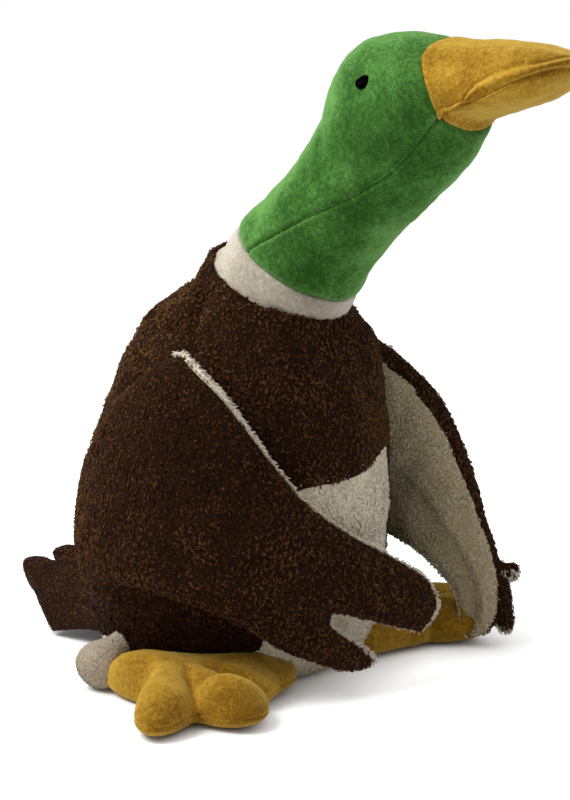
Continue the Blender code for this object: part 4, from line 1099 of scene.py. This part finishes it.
hip = np.array([70.0, 14.0, 24.0]) * MM
ankle = np.array([89.0, 17.0, 14.0]) * MM
for side_name, side in (("right", -1.0), ("left", 1.0)):
    body = "leg_" + side_name
    foot = surface(f"foot_{side_name}_skin", foot_points(side), foot_velour, body,
                   caps=(0, -1))
    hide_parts(f"foot_{side_name}_upper", f"foot_{side_name}_sole",
                f"foot_{side_name}_stuffing")
    mirror = np.array([side, 1.0, 1.0])
    start_, end_ = hip * mirror, ankle * mirror
    way = unit(end_ - start_)
    one = unit(np.cross(way, (0, 0, 1.0)))
    two = np.cross(way, one)
    length = float(np.linalg.norm(end_ - start_))
    legs = [(6.0, -16.0), (8.0, -11.0), (8.0, -3.0), (7.5, 6.0), (8.0, 11.0),
            (11.0, length / MM - 3), (12.3, length / MM + 2), (12.3, length / MM + 6),
            (10.4, length / MM + 10.0), (6.5, length / MM + 12.8), (0.8, length / MM + 14.0)]
    rings = []
    for radius, distance in smooth_curve(legs)(np.linspace(0, 1, 44)):
        rings.append(start_ + way * distance * MM + radius * MM * around(circle(64), one, two))
    rings = np.array(rings)
    rings = rings + unit(rings - rings.mean(axis=1, keepdims=True)) \
        * (folds(rings) * 0.5 * MM)[..., None]
    leg = surface(f"leg_{side_name}_fabric", above(rings, 1.5 * MM), leg_back, body, caps=(0, -1))
    leg_pile = pile(f"leg_{side_name}_pile", leg, leg_fibre, body, 0.85, 1.1, 0.34,
                    (side, 0.0, -0.6), seed=41 + int(side), sink=0.3,
                    keep=lambda p, n: (np.abs(p[:, 0]) > 0.076) & (p[:, 2] < 0.028))
    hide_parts(f"leg_{side_name}_skin", f"leg_{side_name}_stuffing")


# ---------------------------------------------------------------- pile on the torso

def clear_of_neck(p, n):
    return np.linalg.norm(p - neck_pivot, axis=1) > 37.0 * MM


def behind(p, n):
    """Only some of the curls are kept where the coat is out of the usual view."""
    hidden = within((p[:, 1] - 10 * MM) / (30 * MM))
    kept = np.random.default_rng(71).uniform(0, 1, len(p)) > 0.45 * hidden
    return kept & clear_of_neck(p, n)


def in_front(p):
    return p[:, 1] + 0.3 * np.abs(p[:, 0]) < -30.0 * MM


coat_parts = {"front": in_front, "right": lambda p: ~in_front(p) & (p[:, 0] < 0),
              "left": lambda p: ~in_front(p) & (p[:, 0] >= 0)}
coat_piles = [pile("coat_pile_" + name, coat, brown_pile, None, 1.18, 2.7, 0.39,
                   down_and(0.0), seed=5, tone=coat_nap_and_painted_light, clump=2.1,
                   keep=lambda p, n, part=part: behind(p, n) & part(p))
              for name, part in coat_parts.items()]
for piece in (coat, *coat_piles):
    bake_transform(piece)
belly_pile = pile("belly_pile", belly, cream_pile, "torso", 1.15, 1.9, 0.46,
                  down_and(0.0), seed=6,
                  keep=lambda p, n: (p[:, 2] > 1.5 * MM) & (p[:, 1] < 10 * MM))


# ---------------------------------------------------------------- studio

def seen_directly(tree):
    """1 for the camera's own rays and those that a mirror or glass passes on."""
    outputs = tree.nodes.new("ShaderNodeLightPath").outputs
    seen = math_node(tree, "MAXIMUM", outputs["Is Camera Ray"], outputs["Is Glossy Ray"])
    return math_node(tree, "MAXIMUM", seen, outputs["Is Transmission Ray"])


def glowing(tree, shader, strength):
    """Lets the camera see the surface whiter than its light alone would make it; the glow fades near other surfaces,
    which paints a contact shadow.
    """
    # Ambient occlusion dims the glow near the duck: a painted contact shadow.
    corner = add(tree, "AmbientOcclusion", {"Distance": 0.035}, "AO")
    level = math_node(tree, "MULTIPLY", math_node(tree, "POWER", corner, 1.3), strength)
    glow = add(tree, "Emission", {"Color": (1, 1, 1), "Strength": level})
    both = add(tree, "AddShader", {0: shader.outputs[0], 1: glow})
    pick = add(tree, "MixShader", {0: seen_directly(tree), 1: shader.outputs[0], 2: both})
    put(tree.nodes["Material Output"], {"Surface": pick})


floor_material, tree, shader = material("studio_floor", {
    "Base Color": (0.86, 0.86, 0.86), "Roughness": 0.9, "Specular IOR Level": 0.1})
glowing(tree, shader, 0.72)
size = 6.0
floor = new_mesh("floor", np.array([(-size, -size, 0), (size, -size, 0), (size, size, 0),
                                    (-size, size, 0)], float) - (0, 0, 0.0002),
                 np.array([(0, 1, 2, 3)]), floor_material, None, smooth=False)

world = bpy.data.worlds.new("studio")
bpy.context.scene.world = world
world.use_nodes = True
tree = world.node_tree
level = weighted(tree, (seen_directly(tree), 0.68))
put(tree.nodes["Background"], {"Color": (1.0, 1.0, 1.0),
                               "Strength": math_node(tree, "ADD", level, 0.32)})


def lamp(name, place, target, size_, energy):
    data = bpy.data.lights.new(name, "AREA")
    data.shape, data.size, data.energy = "SQUARE", size_, energy
    item = bpy.data.objects.new(name, data)
    item.location = place
    item.rotation_euler = (Vector(target) - Vector(place)).to_track_quat("-Z", "Y").to_euler()
    bpy.context.scene.collection.objects.link(item)


def round_camera(azimuth, elevation, distance):
    a, e = math.radians(azimuth), math.radians(elevation)
    return Vector((math.sin(a) * math.cos(e), -math.cos(a) * math.cos(e), math.sin(e))) * distance


target = Vector((0.015, -0.020, 0.139))
lamp("key", target + round_camera(-122, 48, 1.5), target, 0.9, 24.0)
lamp("fill", target + round_camera(48, 32, 1.8), target, 1.2, 6.0)

camera_data = bpy.data.cameras.new("camera")
camera_data.lens = 98.0
camera_data.sensor_fit = "VERTICAL"
camera_data.sensor_height = 36.0
camera_data.sensor_width = 36.0
camera_data.clip_end = 50.0
camera = bpy.data.objects.new("camera", camera_data)
camera.location = target + round_camera(-53.0, 9.0, 1.150)
camera.rotation_euler = (target - camera.location).to_track_quat("-Z", "Y").to_euler()
bpy.context.scene.collection.objects.link(camera)
bpy.context.scene.camera = camera
bpy.context.scene.view_settings.view_transform = "Standard"
